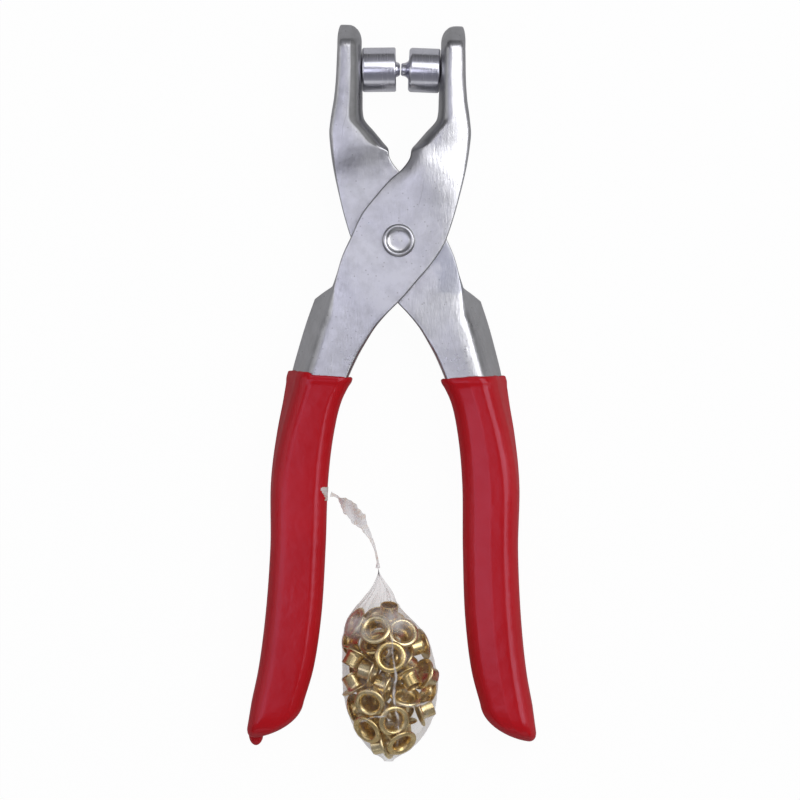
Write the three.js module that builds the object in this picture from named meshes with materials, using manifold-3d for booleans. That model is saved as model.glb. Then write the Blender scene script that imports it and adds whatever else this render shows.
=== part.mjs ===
// Eyelet pliers with a bag of brass eyelets, lying flat on their back.
// Millimetres, +Z up, +Y from the pivot towards the jaws.
// Each arm is one stamping that crosses the centre line at the pivot, so the front arm holds
// the right jaw and the left handle, and the back arm is its mirror image.

import * as THREE from 'three';
import { mergeVertices } from 'three/addons/utils/BufferGeometryUtils.js';
import Module from 'manifold-3d';

const wasm = await Module();
wasm.setup();

// Sheet steel arms
const sheet = 2.0;
const armDepth = 14;
const jawLength = 57.3;
const jawHalfWidth = 18.8;
const plateWidth = 22.3;
const handleLength = 132;
const handleHalfSpan = 38.6;
const foldRadius = 2.3;
const shearRadius = 0.4;
const outerFlangeSplay = 4.4;
const tipLength = 4.5;
const tipRounding = 3.6;
const plateGap = 0.3;
const plateInset = 1;
const shortFlangeShare = 0.25;

// Clearances
const seatGap = 0.25;
const pivotClearance = 0.1;
const cutOverrun = 2;
const sliverLimit = 0.02;

// Pivot rivet
const rivetShankDiameter = 6.4;
const rivetRimDiameter = 8.6;
const rivetRimHeight = 1.2;
const rivetDishDiameter = 5.8;
const rivetDishDepth = 0.9;
const rivetHeadDiameter = 10.5;
const rivetHeadHeight = 1.8;

// Dies
const dieDiameter = 11.8;
const dieSetback = 12;
const dieChamfer = 0.35;
const dieShankDiameter = 6;
const dieTailDiameter = 8;
const dieTailHeight = 1.1;
const anvilLength = 8.7;
const anvilSeatDepth = 0.6;
const anvilPinRootDiameter = 4.2;
const anvilPinTipDiameter = 3.5;
const anvilPinLength = 1.1;
const setterLength = 8.05;
const setterChamfer = 0.7;
const setterNoseTipDiameter = 3.4;
const setterNoseRootDiameter = 5.8;
const setterGrooveDepth = 0.4;
const closedDieGap = 0.3;

// Dipped grips
const gripWall = 0.95;
const gripGap = 0.25;
const gripStart = 36;
const gripFoldRadius = 3.6;
const gripEdgeRadius = 1.4;
const gripTipDrift = 1.4;
const gripTipDepthShare = 0.3;
const gripDripDiameter = 2.6;

// Eyelets: the flange gives the rest of their size, and the size of the bag that they fill
const eyeletFlangeDiameter = 8.6;
const eyeletFlangeHeight = 0.093 * eyeletFlangeDiameter;
const eyeletBarrelDiameter = 0.558 * eyeletFlangeDiameter;
const eyeletBore = 0.477 * eyeletFlangeDiameter;
const eyeletLength = 0.512 * eyeletFlangeDiameter;
const eyeletMouthDip = 0.014 * eyeletFlangeDiameter;
const eyeletGap = 0.03 * eyeletFlangeDiameter;
const settleStep = 0.00116 * eyeletFlangeDiameter;
const heapShare = 0.6;
const smallestShare = 0.3;
const packRounds = 400;
const flangeFeelers = 28;
const barrelFeelers = 8;

// Bag and its tail
const bagLength = 5.256 * eyeletFlangeDiameter;
const bagWidth = 3.233 * eyeletFlangeDiameter;
const bagDepth = 2.163 * eyeletFlangeDiameter;
const bagFilm = 0.0465 * eyeletFlangeDiameter;
const bagFilmGap = 0.0233 * eyeletFlangeDiameter;
const bagDrop = 93;
const bagShift = -0.5;
const bagNeckDiameter = 0.326 * eyeletFlangeDiameter;
const bagNeckLength = 0.279 * eyeletFlangeDiameter;
const tailDiameter = 0.221 * eyeletFlangeDiameter;
const tailGap = 0.3;
const tabThickness = 0.5;
const tabLength = 5;
const tabHeight = 8;
const tieDrop = 68;

// Facets
const foldSteps = 3;
const endSteps = 6;
const roundSteps = 24;
const eyeletSteps = 12;
const bagSteps = 20;
const tailSteps = 24;
const tailSectionSteps = 4;
const openStationSteps = 2;
const gripStationSteps = 1;

const eyeletReach = Math.hypot(eyeletFlangeDiameter, eyeletLength) + eyeletGap;
const handleLift = gripWall + gripGap;
const frontLift = (sheet + plateGap) / 2;

// Stations along the front arm, from the jaw to the handle. Each row holds the shares of
// inner or left edge x and y, outer or right edge x and y, then the share of the left flange,
// the right flange, the splay of the left flange, the joggle at the pivot and the fold radius.
const jawShares = [
  [0.562, 0.921, 0.904, 0.921, 1, 1, 0, 0, 1],
  [0.553, 0.838, 0.909, 0.838, 1, 1, 0, 0, 1],
  [0.546, 0.750, 0.918, 0.747, 1, 1, 0, 0, 1],
  [0.539, 0.667, 0.941, 0.654, 1, 1, 0, 0, 1],
  [0.532, 0.596, 0.968, 0.596, 1, 1, 0, 0, 1],
  [0.506, 0.558, 0.986, 0.552, 1, 1, 0.02, 0, 1],
  [0.370, 0.505, 1.000, 0.500, 1, 1, 0.05, 0, 1],
  [0.234, 0.452, 0.984, 0.434, 1, 1, 0.04, 0.04, 1],
  [0.168, 0.426, 0.955, 0.366, 0.6, 0.85, 0, 0.3, 0.8],
  [0.140, 0.382, 0.915, 0.297, 0, 0.6, 0, 0.75, 0.4],
  [0.040, 0.333, 0.846, 0.201, 0, 0.25, 0, 1, 0.1],
];
const plateShares = [
  [-0.103, 0.731, 0.637, 0.233, 0, 0, 0, 1, 0],
  [-0.287, 0.516, 0.534, -0.054, 0, 0, 0, 1, 0],
  [-0.448, 0.300, 0.390, -0.278, 0, 0, 0, 1, 0],
  [-0.565, 0.040, 0.220, -0.484, 0, 0, 0, 1, 0],
  [-0.668, -0.193, 0.040, -0.700, 0, 0, 0, 1, 0],
];
const handleShares = [
  [-0.420, -0.068, -0.075, -0.148, 0, 0, 0, 0.85, 0],
  [-0.447, -0.102, -0.153, -0.176, 0, 0, 1, 0.4, 0.3],
  [-0.486, -0.139, -0.212, -0.204, 0.7, 0.4, 1, 0.1, 0.5],
  [-0.535, -0.180, -0.262, -0.230, 1, 0.9, 0.95, 0, 0.7],
  [-0.588, -0.232, -0.305, -0.257, 1, 1, 0.9, 0, 0.7],
  [-0.632, -0.273, -0.337, -0.279, 1, 1, 0.85, 0, 0.7],
  [-0.684, -0.326, -0.411, -0.326, 1, 1, 0.65, 0, 0.8],
  [-0.750, -0.394, -0.461, -0.394, 1, 1, 0.4, 0, 0.9],
  [-0.804, -0.485, -0.493, -0.485, 1, 1, 0.2, 0, 1],
  [-0.811, -0.621, -0.504, -0.621, 1, 1, 0.12, 0, 1],
  [-0.839, -0.758, -0.527, -0.758, 1, 1, 0.12, 0, 1],
  [-0.881, -0.864, -0.576, -0.864, 1, 1, 0.12, 0, 1],
  [-0.926, -0.932, -0.640, -0.932, 1, 1, 0.12, 0, 1],
];

// Solids from rings of points, and booleans between them
function volumeOf(geometry) {
  const position = geometry.getAttribute('position');
  const index = geometry.getIndex();
  const a = new THREE.Vector3();
  const b = new THREE.Vector3();
  const c = new THREE.Vector3();
  let sum = 0;
  for (let i = 0; i < index.count; i += 3) {
    a.fromBufferAttribute(position, index.getX(i));
    b.fromBufferAttribute(position, index.getX(i + 1));
    c.fromBufferAttribute(position, index.getX(i + 2));
    sum += a.dot(b.cross(c));
  }
  return sum / 6;
}

function facingOut(geometry) {
  if (volumeOf(geometry) >= 0) return geometry;
  const index = geometry.getIndex().array;
  for (let i = 0; i < index.length; i += 3) {
    const kept = index[i];
    index[i] = index[i + 1];
    index[i + 1] = kept;
  }
  return geometry;
}

function loft(rings) {
  const count = rings[0].length;
  const points = rings.flat();
  const faces = [];
  for (let ring = 0; ring + 1 < rings.length; ring += 1) {
    for (let k = 0; k < count; k += 1) {
      const next = (k + 1) % count;
      const a = ring * count + k;
      const b = ring * count + next;
      faces.push(a, b, a + count, b, b + count, a + count);
    }
  }
  for (const [ring, flip] of [[0, true], [rings.length - 1, false]]) {
    const centre = new THREE.Vector3();
    rings[ring].forEach((point) => centre.addScaledVector(point, 1 / count));
    points.push(centre);
    for (let k = 0; k < count; k += 1) {
      const a = ring * count + k;
      const b = ring * count + ((k + 1) % count);
      faces.push(...(flip ? [b, a, points.length - 1] : [a, b, points.length - 1]));
    }
  }
  const geometry = new THREE.BufferGeometry().setFromPoints(points);
  geometry.setIndex(faces);
  return facingOut(geometry);
}

function solidOf(geometry) {
  const bare = geometry.clone();
  bare.deleteAttribute('normal');
  bare.deleteAttribute('uv');
  const merged = facingOut(mergeVertices(bare, sheet * 1e-5));
  const mesh = new wasm.Mesh({
    numProp: 3,
    vertProperties: new Float32Array(merged.getAttribute('position').array),
    triVerts: new Uint32Array(merged.getIndex().array),
  });
  return new wasm.Manifold(mesh);
}

function geometryOf(solid) {
  const mesh = solid.simplify(sliverLimit).getMesh();
  const geometry = new THREE.BufferGeometry();
  geometry.setAttribute('position', new THREE.BufferAttribute(mesh.vertProperties, mesh.numProp));
  geometry.setIndex(new THREE.BufferAttribute(mesh.triVerts, 1));
  geometry.computeVertexNormals();
  return geometry;
}

function turned(profile, steps) {
  const points = profile.map(([radius, height]) => new THREE.Vector2(radius, height));
  return new THREE.LatheGeometry(points, steps);
}

// The outline of the arm: one smooth curve for each edge, and blended values between rows
const stations = [
  ...jawShares.map((row) => [row, jawHalfWidth, jawLength]),
  ...plateShares.map((row) => [row, plateWidth, plateWidth]),
  ...handleShares.map((row) => [row, handleHalfSpan, handleLength]),
].map(([row, across, along]) => ({
  left: new THREE.Vector3(row[0] * across, row[1] * along, 0),
  right: new THREE.Vector3(row[2] * across, row[3] * along, 0),
  values: row.slice(4),
}));
const leftEdge = new THREE.CatmullRomCurve3(stations.map(({ left }) => left));
const rightEdge = new THREE.CatmullRomCurve3(stations.map(({ right }) => right));
const lastStation = stations.length - 1;
const firstHandleStation = jawShares.length + plateShares.length;

function stationAt(place) {
  const row = Math.min(Math.floor(place), lastStation - 1);
  const blend = place - row;
  const values = stations[row].values.map(
    (value, k) => THREE.MathUtils.lerp(value, stations[row + 1].values[k], blend),
  );
  return {
    left: leftEdge.getPoint(place / lastStation),
    right: rightEdge.getPoint(place / lastStation),
    flangeBottom: place < firstHandleStation - 1 ? 0 : handleLift,
    leftFlange: values[0],
    rightFlange: values[1],
    splay: values[2] * outerFlangeSplay,
    joggle: values[3],
    fold: THREE.MathUtils.lerp(shearRadius, foldRadius, values[4]),
  };
}

// The place along the arm where an edge crosses a height
function placeAtHeight(edge, height) {
  let low = 0;
  let high = lastStation;
  for (let k = 0; k < 40; k += 1) {
    const middle = (low + high) / 2;
    if (edge.getPoint(middle / lastStation).y > height) low = middle;
    else high = middle;
  }
  return (low + high) / 2;
}

// One ring of the arm's section. grow moves all faces out, and the four corners are rounded.
function roundedCorner(corner, towardsBefore, towardsAfter, radius, steps) {
  const points = [];
  for (let k = 0; k <= steps; k += 1) {
    const angle = (Math.PI / 2) * (k / Math.max(steps, 1));
    points.push(corner.clone()
      .addScaledVector(towardsBefore, radius * (1 - Math.sin(angle)))
      .addScaledVector(towardsAfter, radius * (1 - Math.cos(angle))));
  }
  return steps > 0 ? points : [corner.clone()];
}

function sectionRing(station, lift, shape) {
  const { grow, topRadius, bottomRadius, bottomSteps, bottomAt } = shape;
  const width = station.left.distanceTo(station.right);
  const across = station.right.clone().sub(station.left).normalize();
  const top = armDepth + lift * station.joggle;
  const flangeFoot = (share) => THREE.MathUtils.lerp(top - sheet, station.flangeBottom, share);
  const leftFoot = bottomAt ?? flangeFoot(station.leftFlange) - grow;
  const rightFoot = bottomAt ?? flangeFoot(station.rightFlange) - grow;
  const depthShare = (top - leftFoot) / (top - station.flangeBottom);
  const splay = station.splay * Math.min(1, depthShare);
  const corners = [
    new THREE.Vector2(-splay - grow, leftFoot),
    new THREE.Vector2(-grow, top + grow),
    new THREE.Vector2(width + grow, top + grow),
    new THREE.Vector2(width + grow, rightFoot),
  ];
  const flat = [];
  corners.forEach((corner, k) => {
    const before = corners[(k + 3) % 4].clone().sub(corner).normalize();
    const after = corners[(k + 1) % 4].clone().sub(corner).normalize();
    const isTop = k === 1 || k === 2;
    const steps = isTop ? foldSteps : bottomSteps;
    flat.push(...roundedCorner(corner, before, after, isTop ? topRadius : bottomRadius, steps));
  });
  return flat.map(({ x, y }) => station.left.clone().addScaledVector(across, x).setZ(y));
}

// Rings that close the jaw tip along a quarter ellipse. inset is the depth of the surface
// inside the sheet.
function tipRings(lift, shape, inset) {
  const first = stationAt(0);
  const reach = tipLength - inset;
  const rings = [];
  for (let k = foldSteps + 1; k > 0; k -= 1) {
    const angle = (Math.PI / 2) * (k / (foldSteps + 1));
    const station = { ...first };
    const narrowing = (tipRounding / tipLength) * reach * (1 - Math.cos(angle));
    const rise = new THREE.Vector3(0, jawLength - tipLength + reach * Math.sin(angle) - first.left.y, 0);
    station.left = first.left.clone().add(rise).setX(first.left.x + narrowing);
    station.right = first.right.clone().add(rise);
    const drop = reach * (1 - Math.cos(angle));
    const ring = sectionRing(station, lift, shape);
    const roof = armDepth + shape.grow;
    const floor = Math.min(...ring.map(({ z }) => z));
    const shrink = (roof - drop - floor) / (roof - floor);
    rings.push(ring.map((point) => point.setZ(floor + (point.z - floor) * shrink)));
  }
  return rings;
}

function bodyRings(lift, from, to, shapeAt, stepsPerStation) {
  const rings = [];
  const steps = Math.max(2, Math.round((to - from) * stepsPerStation));
  for (let k = 0; k <= steps; k += 1) {
    const station = stationAt(from + (to - from) * (k / steps));
    rings.push(sectionRing(station, lift, shapeAt(station)));
  }
  return rings;
}

// Arms
const outerShape = (station) => (
  { grow: 0, topRadius: station.fold, bottomRadius: 0, bottomSteps: 0 });
const openShare = ({ leftFlange, rightFlange }) => (
  Math.min(1, Math.max(leftFlange, rightFlange) / shortFlangeShare));
const hollowShape = (station) => ({
  grow: -sheet - (1 - openShare(station)) * plateInset,
  topRadius: Math.max(station.fold - sheet, shearRadius),
  bottomRadius: 0,
  bottomSteps: 0,
  bottomAt: -cutOverrun,
});

function cylinderAt(diameter, low, high) {
  return new THREE.CylinderGeometry(diameter / 2, diameter / 2, high - low, roundSteps)
    .rotateX(Math.PI / 2)
    .translate(0, 0, (low + high) / 2);
}

// The seat of a die: the middle of the inner flange at the height of the die's axis
const dieHeight = jawLength - dieSetback;
const dieSeat = leftEdge.getPoint(placeAtHeight(leftEdge, dieHeight) / lastStation);
const dieSeatLow = leftEdge.getPoint(placeAtHeight(leftEdge, dieHeight - dieDiameter / 4) / lastStation);
const dieSeatHigh = leftEdge.getPoint(placeAtHeight(leftEdge, dieHeight + dieDiameter / 4) / lastStation);
const dieTilt = -Math.atan2(dieSeatHigh.x - dieSeatLow.x, dieSeatHigh.y - dieSeatLow.y);

const dieSeatX = dieSeat.x - stationAt(placeAtHeight(leftEdge, dieHeight)).splay / 2;

function placeDie(geometry) {
  return geometry
    .rotateZ(Math.PI / 2 + dieTilt)
    .translate(dieSeatX, dieSeat.y, armDepth / 2);
}

const gripPlace = placeAtHeight(leftEdge, -gripStart);

function armSolid(lift) {
  const last = lastStation;
  const firstShape = outerShape(stationAt(0));
  const firstHollow = hollowShape(stationAt(0));
  const rings = (shapeAt) => [
    ...bodyRings(lift, 0, gripPlace, shapeAt, openStationSteps),
    ...bodyRings(lift, gripPlace, last, shapeAt, gripStationSteps).slice(1),
  ];
  const outside = loft([...tipRings(lift, firstShape, 0), ...rings(outerShape)]);
  const hollowRings = [...tipRings(lift, firstHollow, sheet), ...rings(hollowShape)];
  const end = hollowRings.at(-1).map((point) => point.clone().setY(point.y - cutOverrun));
  const dieHole = placeDie(new THREE.CylinderGeometry(
    dieShankDiameter / 2 + seatGap,
    dieShankDiameter / 2 + seatGap,
    (sheet + cutOverrun / 2) * 2,
    roundSteps,
  ));
  const pivotHole = cylinderAt(rivetShankDiameter + pivotClearance * 2, -cutOverrun, armDepth * 2);
  return solidOf(outside)
    .subtract(solidOf(loft([...hollowRings, end])))
    .subtract(solidOf(pivotHole))
    .subtract(solidOf(dieHole));
}

// Dies, turned about their own axis. Height 0 is the face of the flange that they sit on.
const tailBack = -sheet - seatGap;
const dieTail = [
  [0, tailBack - dieTailHeight],
  [dieTailDiameter / 2, tailBack - dieTailHeight],
  [dieTailDiameter / 2, tailBack],
  [dieShankDiameter / 2, tailBack],
  [dieShankDiameter / 2, seatGap],
  [dieDiameter / 2 - dieChamfer, seatGap],
  [dieDiameter / 2, seatGap + dieChamfer],
];
const seatSpan = 2 * dieSeatX;
const faceSpan = seatSpan - anvilLength - setterLength - 2 * seatGap;
const noseLength = faceSpan - anvilPinLength - closedDieGap;

function anvilGeometry() {
  const face = seatGap + anvilLength;
  const seatRadius = eyeletFlangeDiameter / 2 + seatGap;
  return turned([
    ...dieTail,
    [dieDiameter / 2, face - dieChamfer],
    [dieDiameter / 2 - dieChamfer, face],
    [seatRadius, face],
    [seatRadius - anvilSeatDepth, face - anvilSeatDepth],
    [anvilPinRootDiameter / 2, face - anvilSeatDepth],
    [anvilPinRootDiameter / 2, face],
    [anvilPinTipDiameter / 2, face + anvilPinLength - dieChamfer],
    [anvilPinTipDiameter / 2 - dieChamfer, face + anvilPinLength],
    [0, face + anvilPinLength],
  ], roundSteps);
}

function setterGeometry() {
  const face = seatGap + setterLength;
  const root = setterNoseRootDiameter / 2;
  const tip = setterNoseTipDiameter / 2;
  const nose = [];
  for (let k = 0; k <= foldSteps; k += 1) {
    const angle = (Math.PI / 2) * (k / foldSteps);
    nose.push([
      root - (root - tip) * Math.sin(angle),
      face + (noseLength - dieChamfer) * (1 - Math.cos(angle)),
    ]);
  }
  return turned([
    ...dieTail,
    [dieDiameter / 2, face - setterChamfer],
    [dieDiameter / 2 - setterChamfer, face],
    [root + setterGrooveDepth * 2, face],
    [root + setterGrooveDepth, face - setterGrooveDepth],
    ...nose,
    [tip - dieChamfer, face + noseLength],
    [0, face + noseLength],
  ], roundSteps);
}

// Rivet through both plates: a domed head behind, a rolled rim with a dished middle in front.
// Shares of the head's radius and height, of the rim's radius and height counted in from the
// outside of its bead, and of the dish's radius and depth.
const headShares = [
  [0, 1],
  [0.5, 0.9],
  [0.85, 0.5],
  [1, 0],
];
const rimShares = [
  [0.3, 0],
  [0, 0.45],
  [0.4, 0.85],
  [1, 1],
  [1.6, 0.85],
];
const dishShares = [
  [1, 0.6],
  [0.6, 0.95],
  [0, 1],
];

function rivetGeometry() {
  const backFace = armDepth - frontLift - sheet - seatGap;
  const frontFace = armDepth + frontLift + seatGap;
  const rim = rivetRimDiameter / 2;
  const dish = rivetDishDiameter / 2;
  const bead = (rim - dish) / 2;
  const front = frontFace + rivetRimHeight;
  return turned([
    ...headShares.map(([out, deep]) => (
      [out * rivetHeadDiameter / 2, backFace - deep * rivetHeadHeight])),
    [rivetShankDiameter / 2, backFace],
    [rivetShankDiameter / 2, frontFace],
    ...rimShares.map(([inward, up]) => [rim - inward * bead, frontFace + up * rivetRimHeight]),
    ...dishShares.map(([out, deep]) => [out * dish, front - deep * rivetDishDepth]),
  ], roundSteps).rotateX(Math.PI / 2);
}

// Grips: the arm's own envelope grown by the clearance and the wall, with a closed lower end
function gripRing(place) {
  const grow = gripGap + gripWall;
  return sectionRing(stationAt(place), 0, {
    grow,
    topRadius: gripFoldRadius,
    bottomRadius: gripEdgeRadius,
    bottomSteps: 2,
  });
}

function gripSolid(withDrip) {
  const from = gripPlace;
  const to = lastStation;
  const steps = Math.round((to - from) * gripStationSteps);
  const outside = [];
  for (let k = 0; k <= steps; k += 1) {
    outside.push(gripRing(from + (to - from) * (k / steps)));
  }
  const end = stationAt(to);
  const middleDepth = (armDepth + gripGap + gripWall) / 2;
  const endRing = gripRing(to);
  const outerX = Math.min(...endRing.map(({ x }) => x));
  const reach = handleLength - Math.abs(end.left.y);
  const lastAngle = (Math.PI / 2) * ((endSteps - 1) / endSteps);
  for (let k = 1; k < endSteps; k += 1) {
    const angle = (Math.PI / 2) * (k / endSteps);
    const shrink = Math.cos(angle);
    outside.push(endRing.map((point) => new THREE.Vector3(
      outerX - gripTipDrift * Math.sin(angle) + (point.x - outerX) * shrink,
      point.y - (reach * Math.sin(angle)) / Math.sin(lastAngle),
      middleDepth + (point.z - middleDepth) * (gripTipDepthShare + (1 - gripTipDepthShare) * shrink),
    )));
  }
  const cavityShape = (station) => ({
    grow: gripGap,
    topRadius: station.fold + gripGap,
    bottomRadius: 0,
    bottomSteps: 0,
  });
  const cavity = [
    sectionRing(stationAt(from - 1), 0, cavityShape(stationAt(from - 1))),
    ...bodyRings(0, from, to, cavityShape, gripStationSteps),
  ];
  const floor = cavity.at(-1).map((point) => point.clone().setY(point.y - gripGap));
  const sleeve = solidOf(loft(outside)).subtract(solidOf(loft([...cavity, floor])));
  if (!withDrip) return sleeve;
  const lowest = outside.at(-1).reduce((low, point) => (point.y < low.y ? point : low));
  const drip = new THREE.SphereGeometry(gripDripDiameter / 2, roundSteps / 2, roundSteps / 3)
    .translate(lowest.x + gripDripDiameter / 2, lowest.y, middleDepth);
  return sleeve.add(solidOf(drip));
}

// The bag's outline, from its neck down: shares of the bag's length, then of its width to the
// left and right of its middle, then of its depth.
const bagShares = [
  [0.020, -0.190, 0.000, 0.26],
  [0.060, -0.320, 0.060, 0.56],
  [0.110, -0.400, 0.140, 0.80],
  [0.168, -0.456, 0.240, 0.93],
  [0.239, -0.500, 0.360, 0.98],
  [0.330, -0.508, 0.430, 1.00],
  [0.450, -0.504, 0.478, 1.00],
  [0.540, -0.502, 0.502, 1.00],
  [0.660, -0.474, 0.482, 0.98],
  [0.760, -0.424, 0.446, 0.92],
  [0.840, -0.350, 0.378, 0.80],
  [0.910, -0.270, 0.282, 0.62],
  [0.965, -0.170, 0.160, 0.40],
  [1.000, -0.050, 0.035, 0.12],
];

// Eyelets in the bag, loosely laid: shares of half the bag's width, of its length from the
// top and of its depth from the floor, then the way from the barrel to the flange.
const eyeletShares = [
  [0.40, 0.296, 0.80, 0.12, 0.20, 1.00],
  [-0.32, 0.230, 0.80, -0.15, 0.25, 0.95],
  [0.06, 0.438, 0.86, 0.05, -0.15, 1.00],
  [-0.80, 0.285, 0.60, -0.80, 0.15, 0.60],
  [-0.33, 0.378, 0.62, -0.30, 0.30, 0.90],
  [0.14, 0.210, 0.44, 0.10, -0.90, -0.20],
  [-0.61, 0.470, 0.68, 0.25, 0.95, 0.15],
  [-0.70, 0.620, 0.66, 0.10, -0.95, 0.25],
  [-0.32, 0.546, 0.72, 0.97, 0.10, 0.20],
  [-0.06, 0.586, 0.70, 0.80, -0.50, 0.35],
  [0.16, 0.637, 0.72, 0.35, 0.80, 0.50],
  [0.48, 0.509, 0.68, -0.50, 0.50, 0.60],
  [0.79, 0.529, 0.58, -0.95, 0.10, 0.30],
  [0.73, 0.723, 0.60, -0.85, -0.45, 0.30],
  [-0.32, 0.668, 0.72, -0.30, -0.80, 0.50],
  [-0.32, 0.801, 0.62, -0.50, -0.75, 0.40],
  [-0.75, 0.700, 0.46, -0.80, -0.30, 0.50],
  [-0.55, 0.801, 0.45, -0.95, 0.10, 0.20],
  [-0.06, 0.905, 0.50, 0.70, -0.60, 0.40],
  [0.30, 0.847, 0.56, 0.40, -0.80, 0.40],
  [0.41, 0.785, 0.66, 0.50, 0.70, 0.50],
  [0.32, 0.708, 0.70, 0.10, 0.90, 0.40],
  [0.80, 0.429, 0.48, 0.93, 0.30, 0.20],
  [-0.02, 0.835, 0.30, -0.20, 0.40, -0.90],
  [0.10, 0.250, 0.30, -0.20, 0.30, -0.95],
  [0.58, 0.350, 0.28, 0.30, -0.20, -0.90],
  [-0.62, 0.360, 0.28, -0.40, 0.10, -0.90],
  [-0.04, 0.410, 0.26, 0.10, 0.20, -1.00],
  [0.60, 0.520, 0.25, 0.20, -0.90, 0.10],
  [-0.56, 0.540, 0.24, -0.10, 0.10, -1.00],
  [0.02, 0.575, 0.24, 0.90, 0.20, -0.20],
  [0.60, 0.670, 0.25, 0.30, 0.30, -0.90],
  [-0.46, 0.700, 0.24, 0.20, 0.90, -0.30],
  [0.08, 0.745, 0.24, -0.20, -0.30, -0.90],
  [0.36, 0.870, 0.36, 0.60, -0.40, -0.60],
];

function bagSection(share) {
  const row = bagShares.findLastIndex(([along], k) => along <= share && k + 1 < bagShares.length);
  const from = bagShares[Math.max(row, 0)];
  const to = bagShares[Math.max(row, 0) + 1];
  const blend = THREE.MathUtils.clamp((share - from[0]) / (to[0] - from[0]), 0, 1);
  const [, left, right, depth] = from.map((value, k) => THREE.MathUtils.lerp(value, to[k], blend));
  return {
    centre: bagShift + bagWidth * (left + right) / 2,
    halfWidth: bagWidth * (right - left) / 2,
    halfDepth: bagDepth * depth / 2,
  };
}

function ellipseRing(centre, y, z, halfWidth, halfDepth, steps) {
  return Array.from({ length: steps }, (_, k) => {
    const angle = (2 * Math.PI * k) / steps;
    const x = centre + halfWidth * Math.cos(angle);
    return new THREE.Vector3(x, y, z + halfDepth * Math.sin(angle));
  });
}

// A film shell that is open at its neck
function bagSolid() {
  const middle = bagDepth / 2;
  const neck = bagSection(0).centre;
  const neckTop = -bagDrop + bagNeckLength;
  const neckRadius = bagNeckDiameter / 2;
  const shell = (inset, top, bottomRise) => loft([
    ellipseRing(neck, top, middle, neckRadius - inset, neckRadius - inset, bagSteps),
    ellipseRing(neck, -bagDrop, middle, neckRadius - inset, neckRadius - inset, bagSteps),
    ...bagShares.map(([share]) => {
      const { centre, halfWidth, halfDepth } = bagSection(share);
      const y = -bagDrop - bagLength * share;
      const raised = Math.max(y, -bagDrop - bagLength + bottomRise);
      return ellipseRing(centre, raised, middle, halfWidth - inset, halfDepth - inset, bagSteps);
    }),
  ]);
  return solidOf(shell(0, neckTop, 0))
    .subtract(solidOf(shell(bagFilm, neckTop + cutOverrun, bagFilm)));
}

// The bag's twisted tail rises to the inner side of the left grip, where a tab of film holds it
const gripSide = gripRing(placeAtHeight(rightEdge, -tieDrop))
  .reduce((side, { x }) => Math.max(side, x), -handleHalfSpan);
const tieX = gripSide + tailGap + tabThickness / 2;
const tailTop = tieX + tabThickness / 2 + tailGap;

// The tail's path from the bag up: shares of its run across and of its rise
const tailShares = [
  [0.030, 0.120],
  [0.190, 0.420],
  [0.485, 0.735],
  [0.880, 0.985],
];

function tailGeometry() {
  const start = new THREE.Vector3(bagSection(0).centre, -bagDrop + bagNeckLength + tailGap, bagDepth / 2);
  const end = new THREE.Vector3(tailTop, -tieDrop, bagDepth / 2);
  const rise = end.y - start.y;
  const run = end.x - start.x;
  const path = new THREE.CatmullRomCurve3([
    start,
    ...tailShares.map(([along, up]) => (
      new THREE.Vector3(start.x + run * along, start.y + rise * up, start.z))),
    end,
  ]);
  const section = new THREE.Shape();
  section.absarc(0, 0, tailDiameter / 2, 0, 2 * Math.PI);
  return new THREE.ExtrudeGeometry(section, {
    steps: tailSteps, curveSegments: tailSectionSteps, bevelEnabled: false, extrudePath: path,
  });
}

function tabGeometry() {
  return new THREE.BoxGeometry(tabThickness, tabLength, tabHeight)
    .translate(tieX, -tieDrop, bagDepth / 2);
}

// One eyelet about its own axis, flange up, with the middle of its length at the origin.
// Shares of the flange's height, counted in from its rim and up from its underside.
const flangeShares = [
  [0.2, 0],
  [0, 0.4],
  [0.8, 1],
];
const mouthShare = 0.5;

function eyeletGeometry() {
  const top = eyeletLength / 2;
  const flange = eyeletFlangeDiameter / 2;
  const barrel = eyeletBarrelDiameter / 2;
  const bore = eyeletBore / 2;
  const under = top - eyeletFlangeHeight;
  return new THREE.LatheGeometry([
    [bore, -top],
    [barrel, -top],
    [barrel, under],
    ...flangeShares.map(([inward, up]) => (
      [flange - inward * eyeletFlangeHeight, under + up * eyeletFlangeHeight])),
    [bore + mouthShare * eyeletFlangeHeight, top - eyeletMouthDip],
    [bore, under],
    [bore, -top],
  ].map(([radius, height]) => new THREE.Vector2(radius, height)), eyeletSteps)
    .rotateX(Math.PI / 2);
}

// Distance from a point to an eyelet, taken as two plain discs, with the way out of it
function distanceToDisc(point, radius, middle, halfHeight, wayOut) {
  const reach = Math.hypot(point.x, point.y);
  const outward = reach - radius;
  const side = Math.sign(point.z - middle) || 1;
  const above = Math.abs(point.z - middle) - halfHeight;
  const unitX = reach > 0 ? point.x / reach : 1;
  const unitY = reach > 0 ? point.y / reach : 0;
  if (outward > 0 && above > 0) {
    const distance = Math.hypot(outward, above);
    wayOut.set(unitX * outward, unitY * outward, side * above).divideScalar(distance);
    return distance;
  }
  if (outward > above) {
    wayOut.set(unitX, unitY, 0);
    return outward;
  }
  wayOut.set(0, 0, side);
  return above;
}

const flangeMiddle = (eyeletLength - eyeletFlangeHeight) / 2;
const barrelHalf = (eyeletLength - eyeletFlangeHeight) / 2;
const otherWay = new THREE.Vector3();

function distanceToEyelet(point, wayOut) {
  const toFlange = distanceToDisc(
    point, eyeletFlangeDiameter / 2, flangeMiddle, eyeletFlangeHeight / 2, wayOut);
  const toBarrel = distanceToDisc(
    point, eyeletBarrelDiameter / 2, -eyeletFlangeHeight / 2, barrelHalf, otherWay);
  if (toBarrel < toFlange) wayOut.copy(otherWay);
  return Math.min(toFlange, toBarrel);
}

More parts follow.
